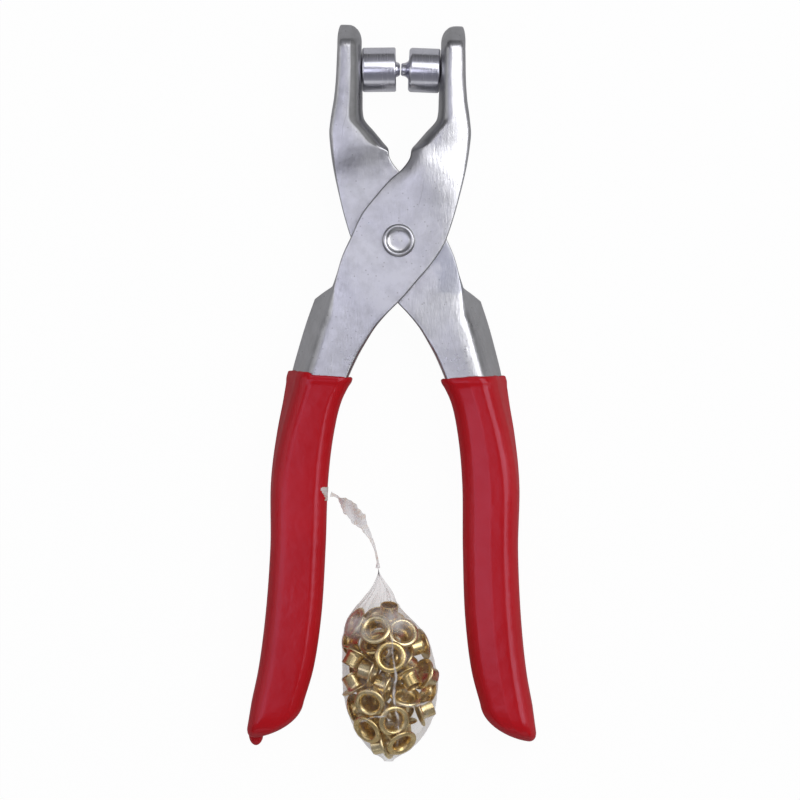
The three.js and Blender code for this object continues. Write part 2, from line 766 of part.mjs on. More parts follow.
// Small balls round the rims of an eyelet feel for its neighbours and for the film
function feelerRing(radius, height, ball, count) {
  return Array.from({ length: count }, (_, k) => {
    const angle = (2 * Math.PI * k) / count;
    return { at: new THREE.Vector3(radius * Math.cos(angle), radius * Math.sin(angle), height), ball };
  });
}

const flangeBall = eyeletFlangeHeight / 2;
const barrelBall = (eyeletBarrelDiameter - eyeletBore) / 2;
const barrelRings = Math.ceil((2 * barrelHalf) / eyeletFlangeHeight);
const feelers = feelerRing(eyeletFlangeDiameter / 2 - flangeBall, flangeMiddle, flangeBall, flangeFeelers);
for (let k = 0; k < barrelRings; k += 1) {
  const height = -eyeletLength / 2 + barrelBall + (2 * barrelHalf * k) / barrelRings;
  feelers.push(...feelerRing(eyeletBarrelDiameter / 2 - barrelBall, height, barrelBall, barrelFeelers));
}

// Moves an eyelet out of a contact, by a push at one point and the turn that goes with it
const turnRadius = eyeletFlangeDiameter / 3;
const leverArm = new THREE.Vector3();
const turnAxis = new THREE.Vector3();
const turnStep = new THREE.Quaternion();

function giveAt(eyelet, point, way) {
  leverArm.copy(point).sub(eyelet.position);
  turnAxis.crossVectors(leverArm, way);
  return 1 + turnAxis.lengthSq() / turnRadius ** 2;
}

function push(eyelet, point, way, amount) {
  leverArm.copy(point).sub(eyelet.position);
  turnAxis.crossVectors(leverArm, way).multiplyScalar(amount / turnRadius ** 2);
  const angle = turnAxis.length();
  eyelet.position.addScaledVector(way, amount);
  if (angle > 0) {
    turnStep.setFromAxisAngle(turnAxis.divideScalar(angle), angle);
    eyelet.turn.premultiply(turnStep).normalize();
  }
}

const feltPoint = new THREE.Vector3();
const localPoint = new THREE.Vector3();
const wayOut = new THREE.Vector3();
const backTurn = new THREE.Quaternion();

function separate(feeling, other, grown) {
  backTurn.copy(other.turn).invert();
  for (const { at, ball } of feelers) {
    feltPoint.copy(at).multiplyScalar(grown).applyQuaternion(feeling.turn).add(feeling.position);
    localPoint.copy(feltPoint).sub(other.position).applyQuaternion(backTurn).divideScalar(grown);
    const overlap = (ball - distanceToEyelet(localPoint, wayOut)) * grown + eyeletGap;
    if (overlap <= 0) continue;
    wayOut.applyQuaternion(other.turn);
    const share = overlap / (giveAt(feeling, feltPoint, wayOut) + giveAt(other, feltPoint, wayOut));
    push(feeling, feltPoint, wayOut, share);
    push(other, feltPoint, wayOut, -share);
  }
}

const facetShare = Math.cos(Math.PI / bagSteps);

function keepInBag(eyelet, grown) {
  for (const { at, ball } of feelers) {
    feltPoint.copy(at).multiplyScalar(grown).applyQuaternion(eyelet.turn).add(eyelet.position);
    const share = (-bagDrop - feltPoint.y) / bagLength;
    const { centre, halfWidth, halfDepth } = bagSection(share);
    const beyond = bagSection(share + ball / bagLength);
    const margin = bagFilm + bagFilmGap + ball;
    const lean = Math.hypot(1, (beyond.halfWidth - halfWidth) / ball);
    const leanDeep = Math.hypot(1, (beyond.halfDepth - halfDepth) / ball);
    const across = Math.max(halfWidth * facetShare - margin * lean, flangeBall / 2);
    const deep = Math.max(halfDepth * facetShare - margin * leanDeep, flangeBall / 2);
    const x = (feltPoint.x - centre) / across;
    const z = (feltPoint.z - bagDepth / 2) / deep;
    const out = Math.hypot(x, z);
    const low = -bagDrop - bagLength + margin - feltPoint.y;
    if (low > 0) push(eyelet, feltPoint, wayOut.set(0, 1, 0), low / giveAt(eyelet, feltPoint, wayOut));
    if (out <= 1) continue;
    const steepness = Math.hypot(x / across, z / deep) / out;
    wayOut.set(-x / across, 0, -z / deep).normalize();
    const amount = Math.min((out - 1) / steepness, flangeBall);
    push(eyelet, feltPoint, wayOut, amount / giveAt(eyelet, feltPoint, wayOut));
  }
}

// The eyelets start small, sink together as they grow, and part until none touches another
function packedEyelets() {
  const up = new THREE.Vector3(0, 0, 1);
  const eyelets = eyeletShares.map(([x, along, z, ...way]) => ({
    position: new THREE.Vector3(
      bagShift + (bagWidth / 2) * x,
      -bagDrop - bagLength * along,
      bagDepth * z,
    ),
    turn: new THREE.Quaternion().setFromUnitVectors(up, new THREE.Vector3(...way).normalize()),
  }));
  const heapMiddle = -bagDrop - bagLength * heapShare;
  for (let round = 0; round < packRounds; round += 1) {
    const grown = Math.min(1, smallestShare + (1 - smallestShare) * (2 * round / packRounds));
    for (const eyelet of eyelets) {
      if (grown < 1) {
        eyelet.position.z -= settleStep;
        eyelet.position.y += Math.sign(heapMiddle - eyelet.position.y) * settleStep;
      }
      for (const other of eyelets) {
        const near = eyelet.position.distanceTo(other.position) < eyeletReach;
        if (other !== eyelet && near) separate(eyelet, other, grown);
      }
      keepInBag(eyelet, grown);
    }
  }
  return eyelets;
}

// Materials
const steel = new THREE.MeshStandardMaterial({ color: 0xb9b7b6, roughness: 0.38, metalness: 0.9 });
const polished = new THREE.MeshStandardMaterial({ color: 0xc4c3cc, roughness: 0.2, metalness: 1 });
const vinyl = new THREE.MeshStandardMaterial({ color: 0xb0242c, roughness: 0.35, metalness: 0 });
const brass = new THREE.MeshStandardMaterial({ color: 0xb8964c, roughness: 0.3, metalness: 1 });
const film = new THREE.MeshStandardMaterial({
  color: 0xf2f2f0, roughness: 0.2, metalness: 0, transparent: true, opacity: 0.35,
});

function piece(name, geometry, material) {
  const mesh = new THREE.Mesh(geometry, material.clone());
  mesh.name = name;
  return mesh;
}

function mirrored(geometry) {
  return facingOut(mergeVertices(geometry.scale(-1, 1, 1)));
}

const pliers = new THREE.Group();
pliers.add(piece('front_arm', geometryOf(armSolid(frontLift)), steel));
pliers.add(piece('back_arm', mirrored(geometryOf(armSolid(-frontLift))), steel));
pliers.add(piece('pivot_rivet', rivetGeometry(), steel));
pliers.add(piece('setter_die', placeDie(setterGeometry()), polished));
pliers.add(piece('anvil_die', mirrored(placeDie(anvilGeometry())), polished));
pliers.add(piece('left_grip', geometryOf(gripSolid(true)), vinyl));
pliers.add(piece('right_grip', mirrored(geometryOf(gripSolid(false))), vinyl));
pliers.add(piece('tail_tab', tabGeometry(), film));
pliers.add(piece('bag_tail', tailGeometry(), film));
pliers.add(piece('eyelet_bag', geometryOf(bagSolid()), film));
packedEyelets().forEach(({ position, turn }, k) => {
  const eyelet = piece(`eyelet_${String(k + 1).padStart(2, '0')}`, eyeletGeometry(), brass);
  eyelet.position.copy(position);
  eyelet.quaternion.copy(turn);
  pliers.add(eyelet);
});

// The origin is under the middle of the whole object, on the surface that it lies on
const bounds = new THREE.Box3().setFromObject(pliers, true);
const middle = bounds.getCenter(new THREE.Vector3());
pliers.position.set(-middle.x, -middle.y, -bounds.min.z);

export default pliers;
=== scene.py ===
# Looks of the eyelet pliers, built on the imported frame. Until a mesh is made, shapes are in
# millimetres with the pivot as origin, as in the part's source.
import math

import bmesh
import bpy
import numpy as np
from mathutils import Matrix, Vector, noise
from mathutils.bvhtree import BVHTree

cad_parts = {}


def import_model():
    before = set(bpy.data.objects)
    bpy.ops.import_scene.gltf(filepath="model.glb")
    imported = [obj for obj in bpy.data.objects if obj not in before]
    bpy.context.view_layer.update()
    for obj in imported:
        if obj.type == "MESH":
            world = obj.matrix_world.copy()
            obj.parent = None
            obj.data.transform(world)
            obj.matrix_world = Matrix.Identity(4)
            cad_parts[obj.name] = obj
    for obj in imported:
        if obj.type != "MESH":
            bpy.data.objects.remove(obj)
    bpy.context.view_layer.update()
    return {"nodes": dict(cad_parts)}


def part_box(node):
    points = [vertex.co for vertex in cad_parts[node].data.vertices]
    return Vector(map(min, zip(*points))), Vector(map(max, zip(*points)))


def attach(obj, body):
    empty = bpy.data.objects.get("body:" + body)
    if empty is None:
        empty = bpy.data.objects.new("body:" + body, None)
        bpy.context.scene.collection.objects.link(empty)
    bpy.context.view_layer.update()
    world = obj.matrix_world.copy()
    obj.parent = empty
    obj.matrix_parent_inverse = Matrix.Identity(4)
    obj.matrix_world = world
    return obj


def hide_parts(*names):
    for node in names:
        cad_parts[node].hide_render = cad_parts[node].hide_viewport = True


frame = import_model()

MM = 0.001
PIVOT_LOW, PIVOT_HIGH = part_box("pivot_rivet")
ORIGIN = np.array([(PIVOT_LOW.x + PIVOT_HIGH.x) / 2, (PIVOT_LOW.y + PIVOT_HIGH.y) / 2, 0.0])

# Sizes that repeat the part's source
SHEET = 2.0
ARM_DEPTH = 14.0
JAW_LENGTH = 57.3
JAW_HALF_WIDTH = 18.8
PLATE_WIDTH = 22.3
HANDLE_LENGTH = 132.0
HANDLE_HALF_SPAN = 38.6
FOLD_RADIUS = 2.3
SHEAR_RADIUS = 0.4
OUTER_SPLAY = 4.4
TIP_LENGTH = 4.5
TIP_ROUNDING = 3.6
FRONT_LIFT = 1.15
GRIP_WALL = 0.95
GRIP_GAP = 0.25
GRIP_START = 36.0
GRIP_FOLD_RADIUS = 3.6
GRIP_EDGE_RADIUS = 1.4
GRIP_TIP_DRIFT = 1.4
GRIP_TIP_DEPTH_SHARE = 0.3
SEAT_GAP = 0.25
DIE_DIAMETER = 11.8
DIE_SETBACK = 12.0
ANVIL_LENGTH = 8.7
SETTER_LENGTH = 8.05
BAG_LENGTH = 45.2
BAG_WIDTH = 27.8
BAG_DEPTH = 18.6
BAG_DROP = 93.0
BAG_SHIFT = -0.5

# Stations along the front arm: left edge x and y, right edge x and y, right flange, splay,
# joggle and fold, as shares
JAW_SHARES = [
    [0.562, 0.921, 0.904, 0.921, 1, 0, 0, 1],
    [0.553, 0.838, 0.909, 0.838, 1, 0, 0, 1],
    [0.546, 0.750, 0.918, 0.747, 1, 0, 0, 1],
    [0.539, 0.667, 0.941, 0.654, 1, 0, 0, 1],
    [0.532, 0.596, 0.968, 0.596, 1, 0, 0, 1],
    [0.506, 0.558, 0.986, 0.552, 1, 0.02, 0, 1],
    [0.370, 0.505, 1.000, 0.500, 1, 0.05, 0, 1],
    [0.234, 0.452, 0.984, 0.434, 1, 0.04, 0.04, 1],
    [0.168, 0.426, 0.955, 0.366, 0.85, 0, 0.3, 0.8],
    [0.140, 0.382, 0.915, 0.297, 0.6, 0, 0.75, 0.4],
    [0.040, 0.333, 0.846, 0.201, 0.25, 0, 1, 0.1],
]
PLATE_SHARES = [
    [-0.103, 0.731, 0.637, 0.233, 0, 0, 1, 0],
    [-0.287, 0.516, 0.534, -0.054, 0, 0, 1, 0],
    [-0.448, 0.300, 0.390, -0.278, 0, 0, 1, 0],
    [-0.565, 0.040, 0.220, -0.484, 0, 0, 1, 0],
    [-0.668, -0.193, 0.040, -0.700, 0, 0, 1, 0],
]
HANDLE_SHARES = [
    [-0.420, -0.068, -0.075, -0.148, 0, 0, 0.85, 0],
    [-0.447, -0.102, -0.153, -0.176, 0, 1, 0.4, 0.3],
    [-0.486, -0.139, -0.212, -0.204, 0.4, 1, 0.1, 0.5],
    [-0.535, -0.180, -0.262, -0.230, 0.9, 0.95, 0, 0.7],
    [-0.588, -0.232, -0.305, -0.257, 1, 0.9, 0, 0.7],
    [-0.632, -0.273, -0.337, -0.279, 1, 0.85, 0, 0.7],
    [-0.684, -0.326, -0.411, -0.326, 1, 0.65, 0, 0.8],
    [-0.750, -0.394, -0.461, -0.394, 1, 0.4, 0, 0.9],
    [-0.804, -0.485, -0.493, -0.485, 1, 0.2, 0, 1],
    [-0.811, -0.621, -0.504, -0.621, 1, 0.12, 0, 1],
    [-0.839, -0.758, -0.527, -0.758, 1, 0.12, 0, 1],
    [-0.881, -0.864, -0.576, -0.864, 1, 0.12, 0, 1],
    [-0.926, -0.932, -0.640, -0.932, 1, 0.12, 0, 1],
]
# Stations down the bag: share of its length, left and right edge and depth, as shares. The
# first four are its pinched neck, finer than in the part's source.
BAG_SHARES = [
    [-0.142, -0.150, -0.116, 0.05],
    [-0.075, -0.182, -0.058, 0.13],
    [-0.020, -0.215, 0.012, 0.24],
    [0.025, -0.270, 0.062, 0.38],
    [0.060, -0.320, 0.060, 0.56],
    [0.110, -0.400, 0.140, 0.80],
    [0.168, -0.456, 0.240, 0.93],
    [0.239, -0.500, 0.360, 0.98],
    [0.330, -0.508, 0.430, 1.00],
    [0.450, -0.504, 0.478, 1.00],
    [0.540, -0.502, 0.502, 1.00],
    [0.660, -0.474, 0.482, 0.98],
    [0.760, -0.424, 0.446, 0.92],
    [0.840, -0.350, 0.378, 0.80],
    [0.910, -0.270, 0.282, 0.62],
    [0.965, -0.170, 0.160, 0.40],
    [1.000, -0.050, 0.035, 0.12],
]


# Curves and meshes
SHARP_ANGLE = 38.0
MERGE = 0.0005


def unit(vector):
    length = np.linalg.norm(vector)
    return vector / length if length > 1e-9 else vector * 0


def catmull(points, place):
    """A centripetal Catmull-Rom curve, as three.js has it, at a place counted in rows."""
    last = len(points) - 1
    row = min(int(place), last - 1)
    t = place - row
    p1, p2 = points[row], points[row + 1]
    p0 = points[row - 1] if row > 0 else 2 * p1 - p2
    p3 = points[row + 2] if row + 2 <= last else 2 * p2 - p1
    steps = (p0, p1), (p1, p2), (p2, p3)
    d0, d1, d2 = (max(np.linalg.norm(b - a) ** 0.5, 1e-4) for a, b in steps)
    t1 = ((p1 - p0) / d0 - (p2 - p0) / (d0 + d1) + (p2 - p1) / d1) * d1
    t2 = ((p2 - p1) / d1 - (p3 - p1) / (d1 + d2) + (p3 - p2) / d2) * d1
    return (p1 + t1 * t + (3 * (p2 - p1) - 2 * t1 - t2) * t ** 2
            + (2 * (p1 - p2) + t1 + t2) * t ** 3)


def rounded(corner, before, after, radius, steps):
    """The rounding of a corner, between its two unit ways."""
    angle = np.linspace(0, math.pi / 2, steps + 1)[:, None]
    return corner + before * radius * (1 - np.sin(angle)) + after * radius * (1 - np.cos(angle))


def rounded_path(corners, radii, arc_steps, run_steps):
    """A polyline with its inner corners rounded and its straight runs divided."""
    points = [corners[0][None]]
    for k in range(1, len(corners) - 1):
        back, ahead = corners[k - 1] - corners[k], corners[k + 1] - corners[k]
        radius = min(radii[k - 1], np.linalg.norm(back) / 2, np.linalg.norm(ahead) / 2)
        arc = rounded(corners[k], unit(back), unit(ahead), radius, arc_steps[k - 1])
        run = np.linspace(points[-1][-1], arc[0], run_steps[k - 1] + 1)[1:-1]
        points += [run, arc]
    points.append(np.linspace(points[-1][-1], corners[-1], run_steps[-1] + 1)[1:])
    return np.concatenate(points)


def grid_faces(rows, columns, start=0, closed=False):
    """Quads between rows of points, which close round when asked to."""
    faces = []
    for i in range(rows - 1):
        for j in range(columns if closed else columns - 1):
            k = (j + 1) % columns
            a = start + i * columns
            faces.append((a + j, a + k, a + columns + k, a + columns + j))
    return faces


def new_object(name, data):
    thing = bpy.data.objects.new(name, data)
    bpy.context.scene.collection.objects.link(thing)
    return thing


def tube_faces(rows, columns):
    """The faces of a closed tube with flat ends."""
    faces = grid_faces(rows, columns, closed=True)
    for start in (0, (rows - 1) * columns):
        faces.append(tuple(range(start, start + columns)))
    return faces


def make_piece(name, points, faces, sharp=SHARP_ANGLE):
    """A closed piece from points in millimetres, with the pivot as origin."""
    mesh = bpy.data.meshes.new(name)
    mesh.from_pydata((np.asarray(points) * MM + ORIGIN).tolist(), [], faces)
    bm = bmesh.new()
    bm.from_mesh(mesh)
    bmesh.ops.remove_doubles(bm, verts=bm.verts, dist=MERGE * MM)
    bmesh.ops.dissolve_degenerate(bm, dist=MERGE * MM, edges=bm.edges)
    bmesh.ops.recalc_face_normals(bm, faces=bm.faces)
    bm.to_mesh(mesh)
    bm.free()
    piece = new_object(name, mesh)
    shade(piece, sharp)
    return piece


def shade(piece, sharp):
    piece.data.shade_smooth()
    piece.data.set_sharp_from_angle(angle=math.radians(sharp))


def apply_modifiers(piece, sharp):
    graph = bpy.context.evaluated_depsgraph_get()
    graph.update()
    piece.data = bpy.data.meshes.new_from_object(piece.evaluated_get(graph))
    piece.modifiers.clear()
    shade(piece, sharp)


def combine(piece, other, operation, sharp=SHARP_ANGLE):
    """Joins another closed piece to this one, or cuts it away, and drops it."""
    modifier = piece.modifiers.new("combine", "BOOLEAN")
    modifier.operation = operation
    modifier.solver = "EXACT"
    modifier.object = other
    apply_modifiers(piece, sharp)
    bpy.data.objects.remove(other)


def lathe(name, profile, steps, place=None, sharp=SHARP_ANGLE):
    """Turns a profile of radius and height about Z. place moves it to the pivot's frame."""
    profile = np.asarray(profile, float)
    angle = np.linspace(0, 2 * math.pi, steps, endpoint=False)
    rings = np.stack([
        profile[:, 0, None] * np.cos(angle),
        profile[:, 0, None] * np.sin(angle),
        np.repeat(profile[:, 1, None], steps, axis=1),
    ], axis=-1)
    points = rings.reshape(-1, 3)
    if place is not None:
        points = points @ place[:3, :3].T + place[:3, 3]
    return make_piece(name, points, grid_faces(len(rings), steps, closed=True), sharp)


def soft_profile(profile, radius, steps=4):
    """The same profile with its inner corners eased."""
    corners = [np.array([*p, 0.0]) for p in profile]
    count = len(corners) - 2
    return rounded_path(corners, [radius] * count, [steps] * count, [1] * (count + 1))[:, :2]


def value_noise(points, scale, seed):
    """Smooth noise from -1 to 1 at points, the same on each run."""
    shift = Vector((seed * 13.7, seed * 5.1, seed * 9.3))
    return np.array([noise.noise(Vector(p) * scale + shift) for p in points])


def smoothstep(low, high, value):
    t = min(max((value - low) / (high - low), 0), 1)
    return t * t * (3 - 2 * t)


def mirrored(points):
    return points * [-1, 1, 1]


def between(low, high, share):
    return low + (high - low) * share


def across_and_up(x, z):
    return np.array([x, 0.0, z])


def in_frame(point):
    """A point in millimetres from the pivot, as one in metres in the frame."""
    return [v * MM + o for v, o in zip(point, ORIGIN)]


# The arm's outline and section
STATIONS = [(row, w, l) for rows, w, l in (
    (JAW_SHARES, JAW_HALF_WIDTH, JAW_LENGTH),
    (PLATE_SHARES, PLATE_WIDTH, PLATE_WIDTH),
    (HANDLE_SHARES, HANDLE_HALF_SPAN, HANDLE_LENGTH),
) for row in rows]
LEFT = np.array([[row[0] * w, row[1] * l, 0] for row, w, l in STATIONS])
RIGHT = np.array([[row[2] * w, row[3] * l, 0] for row, w, l in STATIONS])
VALUES = np.array([row[4:] for row, _, _ in STATIONS])
LAST = len(STATIONS) - 1
HANDLE_LIFT = GRIP_WALL + GRIP_GAP
BLEND_REACH = 0.45
BLEND_SAMPLES = 7


def values_at(place):
    """The last four shares at a place, blended smoothly over the rows next to it."""
    total = np.zeros(VALUES.shape[1])
    weights = 0.0
    for offset in np.linspace(-BLEND_REACH, BLEND_REACH, BLEND_SAMPLES):
        at = min(max(place + offset, 0), LAST)
        row = min(int(at), LAST - 1)
        weight = 1 - abs(offset)
        total += weight * between(VALUES[row], VALUES[row + 1], at - row)
        weights += weight
    return total / weights


# Where flanges and folds begin and end along Y, and the rows that belong to the jaw
JAW_ROWS = len(JAW_SHARES) + len(PLATE_SHARES) - 3
JAW_FLANGE_END = (23.2, 25.4)
JAW_FOLD_START = 26.5
JAW_INNER_FOLD = 4.0
HANDLE_FLANGE_START = (-12.6, -18.4)
SHARP_FOLD = 1.1


def station_at(place):
    """What the section at a place needs: edges, flanges, splay, joggle and fold radii."""
    right_flange, splay, joggle, fold = values_at(place)
    left, right = catmull(LEFT, place), catmull(RIGHT, place)
    if place < JAW_ROWS:
        left_flange = smoothstep(*JAW_FLANGE_END, left[1])
        near_jaw = smoothstep(JAW_FLANGE_END[0], JAW_FOLD_START, left[1])
        left_fold = between(SHEAR_RADIUS, JAW_INNER_FOLD, near_jaw)
        bottom = 0.0
    else:
        start, full = HANDLE_FLANGE_START
        left_flange = min(max((left[1] - start) / (full - start), 0), 1)
        left_fold = between(SHEAR_RADIUS, FOLD_RADIUS, left_flange)
        bottom = HANDLE_LIFT
    return {
        "left": left, "right": right, "bottom": bottom, "left_flange": left_flange,
        "right_flange": right_flange, "splay": splay * OUTER_SPLAY, "joggle": joggle,
        "folds": (left_fold, between(SHEAR_RADIUS, SHARP_FOLD, fold))}


def place_at_height(edge, height):
    """The place where an edge comes to a height, as edges only fall from row to row."""
    low, high = 0.0, float(LAST)
    for _ in range(40):
        middle = (low + high) / 2
        if catmull(edge, middle)[1] > height:
            low = middle
        else:
            high = middle
    return (low + high) / 2


HANDLE_SHOULDER = 0.45
HANDLE_CROWN_REACH = (-10.0, -24.0)
HANDLE_CROWN_END = (-44.0, -36.5)
CUT_EDGE = 0.3
WIDTH_PER_FOLD = 2.2
# Steps in the section's four corners, and in the five runs between its ends
OUTER_ARCS = [4, 12, 10, 4]
INNER_ARCS = [4, 4, 4, 4]
SECTION_RUNS = [1, 5, 12, 5, 1]
# How far the jaw's and the handle's faces bulge, where the jaw's ridge lies and where it rises
FRONT_CROWN = {"jaw": 1.5, "ridge": 0.25, "reach": (-4.0, 30.0), "handle": 0.4}
BACK_CROWN = {"jaw": 0.6, "ridge": 0.6, "reach": (10.0, 34.0), "handle": 0.7}


def crown_at(share, height, crown):
    """The jaw falls from a ridge to both edges, and the handle from a shoulder to its outer one."""
    if height > 0:
        rise = np.minimum(share / crown["ridge"], (1 - share) / (1 - crown["ridge"]))
        most = crown["jaw"] * smoothstep(*crown["reach"], height)
    else:
        rise = share / HANDLE_SHOULDER
        most = crown["handle"] * smoothstep(*HANDLE_CROWN_REACH, height)
        most *= smoothstep(*HANDLE_CROWN_END, height)
    return most * (1 - (1 - np.clip(rise, 0, 1)) ** 2)


def arm_section(station, lift):
    """Outer and inner paths of the channel at one station, as rows of x across and z."""
    width = np.linalg.norm(station["right"] - station["left"])
    top = ARM_DEPTH + lift * station["joggle"]
    under = top - SHEET
    bottom = station["bottom"]
    left_foot = between(under, bottom, station["left_flange"])
    right_foot = between(under, bottom, station["right_flange"])
    splay = station["splay"] * min(1, (top - left_foot) / (top - bottom))
    folds = [min(f, width / WIDTH_PER_FOLD) for f in station["folds"]]

    def skin(inset, roof, folds, arcs):
        corners = [across_and_up(*corner) for corner in (
            (SHEET / 2 - splay, left_foot), (inset - splay, left_foot), (inset, roof),
            (width - inset, roof), (width - inset, right_foot), (width - SHEET / 2, right_foot))]
        return rounded_path(corners, [CUT_EDGE, *folds, CUT_EDGE], arcs, SECTION_RUNS)

    outer = skin(0, top, folds, OUTER_ARCS)
    inner = skin(SHEET, under, [max(f - SHEET, CUT_EDGE) for f in folds], INNER_ARCS)
    share = np.clip(outer[:, 0] / width, 0, 1)
    fold = max(folds)
    near_top = np.clip((outer[:, 2] - (top - fold)) / fold, 0, 1)
    height = (station["left"][1] + station["right"][1]) / 2
    outer[:, 2] += near_top * crown_at(share, height, FRONT_CROWN if lift > 0 else BACK_CROWN)
    return outer, inner


def placed(section, station):
    """A section set on its station: its x runs from the left edge to the right one."""
    across = unit(station["right"] - station["left"])
    points = station["left"] + section[:, :1] * across
    points[:, 2] = section[:, 2]
    return points


TIP_REACH = 8.0
TIP_CREST = 3.5
TIP_DROP = 7.0
TIP_SIDE_ROUNDING = 1.0
TIP_BENDS = [1.75, 1.0]
TIP_CORNERS = [0, 0], [TIP_CREST, 0], [TIP_REACH, TIP_DROP], [TIP_REACH, TIP_DROP + 2]
TIP_SLOPE = rounded_path(
    [np.array(corner) for corner in TIP_CORNERS], TIP_BENDS, [10, 5], [1, 4, 1])[1:-1]
TIP_STEPS = len(TIP_SLOPE)
TIP_LOW = JAW_LENGTH - TIP_LENGTH
RINGS_PER_ROW = 8


def tip_row(along, drop, outer, lift):
    """The channel's section at one point down the tip's slope."""
    inward = 1 if outer else 1 - SHEET / TIP_REACH
    along, drop = along * inward, drop * inward
    y = JAW_LENGTH - TIP_REACH + along
    first = station_at(place_at_height(LEFT, TIP_LOW) if y < TIP_LOW else 0)
    narrow = max(y - TIP_LOW, 0) / TIP_LENGTH
    narrow = 1 - math.sqrt(max(1 - min(narrow, 1) ** 2, 0))
    left, right = first["left"].copy(), first["right"].copy()
    left[1] = right[1] = y
    left[0] += TIP_ROUNDING * narrow
    right[0] -= TIP_SIDE_ROUNDING * narrow
    station = {**first, "left": left, "right": right}
    section = arm_section(station, lift)[0 if outer else 1]
    roof = ARM_DEPTH if outer else ARM_DEPTH - SHEET
    section[:, 2] *= (roof - drop) / roof
    return placed(section, station)


def arm_points(lift):
    """Rows from the jaw's tip to the handle's end, outside and inside."""
    outer, inner = [], []
    for along, drop in TIP_SLOPE[::-1]:
        outer.append(tip_row(along, drop, True, lift))
        inner.append(tip_row(along, drop, False, lift))
    start = place_at_height(LEFT, JAW_LENGTH - TIP_REACH)
    for place in np.linspace(start, LAST, LAST * RINGS_PER_ROW + 1):
        station = station_at(place)
        for rows, section in zip((outer, inner), arm_section(station, lift)):
            rows.append(placed(section, station))
    return np.array(outer), np.array(inner)


def make_arm(name, lift, mirror):
    """One pressed arm: its two skins, joined along the cut edges and at both ends."""
    outer, inner = arm_points(lift)
    points = np.concatenate([outer.reshape(-1, 3), inner.reshape(-1, 3)])
    numbers = np.arange(len(points))
    out = numbers[:outer.size // 3].reshape(outer.shape[:2])
    within = numbers[outer.size // 3:].reshape(inner.shape[:2])
    faces = grid_faces(*out.shape) + grid_faces(*within.shape, out.size)
    for side in (0, -1):
        for k in range(TIP_STEPS):
            faces.append((*out[k:k + 2, side], *within[k:k + 2, side][::-1]))
    faces += [out[0], within[0], (*out[0, [0, -1]], *within[0, [-1, 0]]),
              (*out[-1], *within[-1, -2:0:-1])]
    if mirror:
        points = mirrored(points)
    return make_piece(name, points, faces)


def bore(arm, radius, low, high, place=None):
    cutter = lathe("cutter", [[0, low], [radius, low], [radius, high], [0, high]], 64, place)
    combine(arm, cutter, "DIFFERENCE")


# Dies
DIE_HEIGHT = JAW_LENGTH - DIE_SETBACK
DIE_LOW, DIE_SEAT, DIE_HIGH = (
    catmull(LEFT, place_at_height(LEFT, DIE_HEIGHT + share * DIE_DIAMETER))
    for share in (-0.25, 0, 0.25))
DIE_TILT = -math.atan2(DIE_HIGH[0] - DIE_LOW[0], DIE_HIGH[1] - DIE_LOW[1])


def die_place(mirror):
    """Turns +Z to the way from the right jaw to the left one."""
    turn = Matrix.Rotation(math.pi / 2 + DIE_TILT, 4, "Z") @ Matrix.Rotation(-math.pi / 2, 4, "X")
    place = Matrix.Translation((DIE_SEAT[0], DIE_SEAT[1], ARM_DEPTH / 2)) @ turn
    return np.diag([-1 if mirror else 1, 1, 1, 1]) @ np.array(place)


def rides(piece, body, slot, *nodes):
    """Puts a piece in the place of CAD nodes, on a body. Its slot is not used."""
    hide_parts(*nodes)
    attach(piece, body)
    return piece


PIVOT_HOLE = 3.3
DIE_HOLE = 3.25
arms = {}
for name, lift, mirror, body in (
    ("front_arm", FRONT_LIFT, False, "front_side"),
    ("back_arm", -FRONT_LIFT, True, "back_side"),
):
    arm = make_arm(name + "_pressing", lift, mirror)
    bore(arm, PIVOT_HOLE, -2, 2 * ARM_DEPTH + 2)
    bore(arm, DIE_HOLE, -5, 5, die_place(mirror))
    arms[name] = rides(arm, body, "satin_steel", name)

DIE_RADIUS = DIE_DIAMETER / 2
DIE_GAP = 0.3
PIN_LENGTH = 1.1
TAIL_BACK = -SHEET - SEAT_GAP
DIE_TAIL = [[0, TAIL_BACK - 1.1], [3.2, TAIL_BACK - 1.1], [4.0, TAIL_BACK - 0.5], [4.0, TAIL_BACK],
            [3.0, TAIL_BACK], [3.0, 0.05], [DIE_RADIUS - 0.35, 0.05], [DIE_RADIUS, 0.4]]
SEAT_SPAN = 2 * DIE_SEAT[0]
NOSE_LENGTH = SEAT_SPAN - ANVIL_LENGTH - SETTER_LENGTH - 2 * SEAT_GAP - PIN_LENGTH - DIE_GAP
DIE_EASING = 0.12
ROUND_STEPS = 96


def anvil_profile():
    """Tail, shank and barrel, with a seat for the eyelet's flange round a pin."""
    face = SEAT_GAP + ANVIL_LENGTH
    return DIE_TAIL + [
        [DIE_RADIUS, face - 0.3], [DIE_RADIUS - 0.3, face], [4.55, face], [3.95, face - 0.6],
        [2.2, face - 0.6], [2.05, face + 0.1], [1.75, face + 0.8], [1.4, face + PIN_LENGTH],
        [0, face + PIN_LENGTH]]


def setter_profile():
    """Tail, shank and barrel, with a groove round a flared nose."""
    face = SEAT_GAP + SETTER_LENGTH
    nose = [[2.9 - 1.2 * math.sin(a), face + (NOSE_LENGTH - 0.3) * (1 - math.cos(a))]
            for a in np.linspace(0, math.pi / 2, 9)]
    return DIE_TAIL + [
        [DIE_RADIUS, face - 0.75], [DIE_RADIUS - 0.22, face - 0.25], [DIE_RADIUS - 0.75, face],
        [3.7, face], [3.3, face - 0.4], *nose, [1.4, face + NOSE_LENGTH], [0, face + NOSE_LENGTH]]


def make_die(node, body, profile, mirror):
    profile = soft_profile(profile, DIE_EASING)
    die = lathe(node + "_turned", profile, ROUND_STEPS, die_place(mirror))
    return rides(die, body, "polished_steel", node)


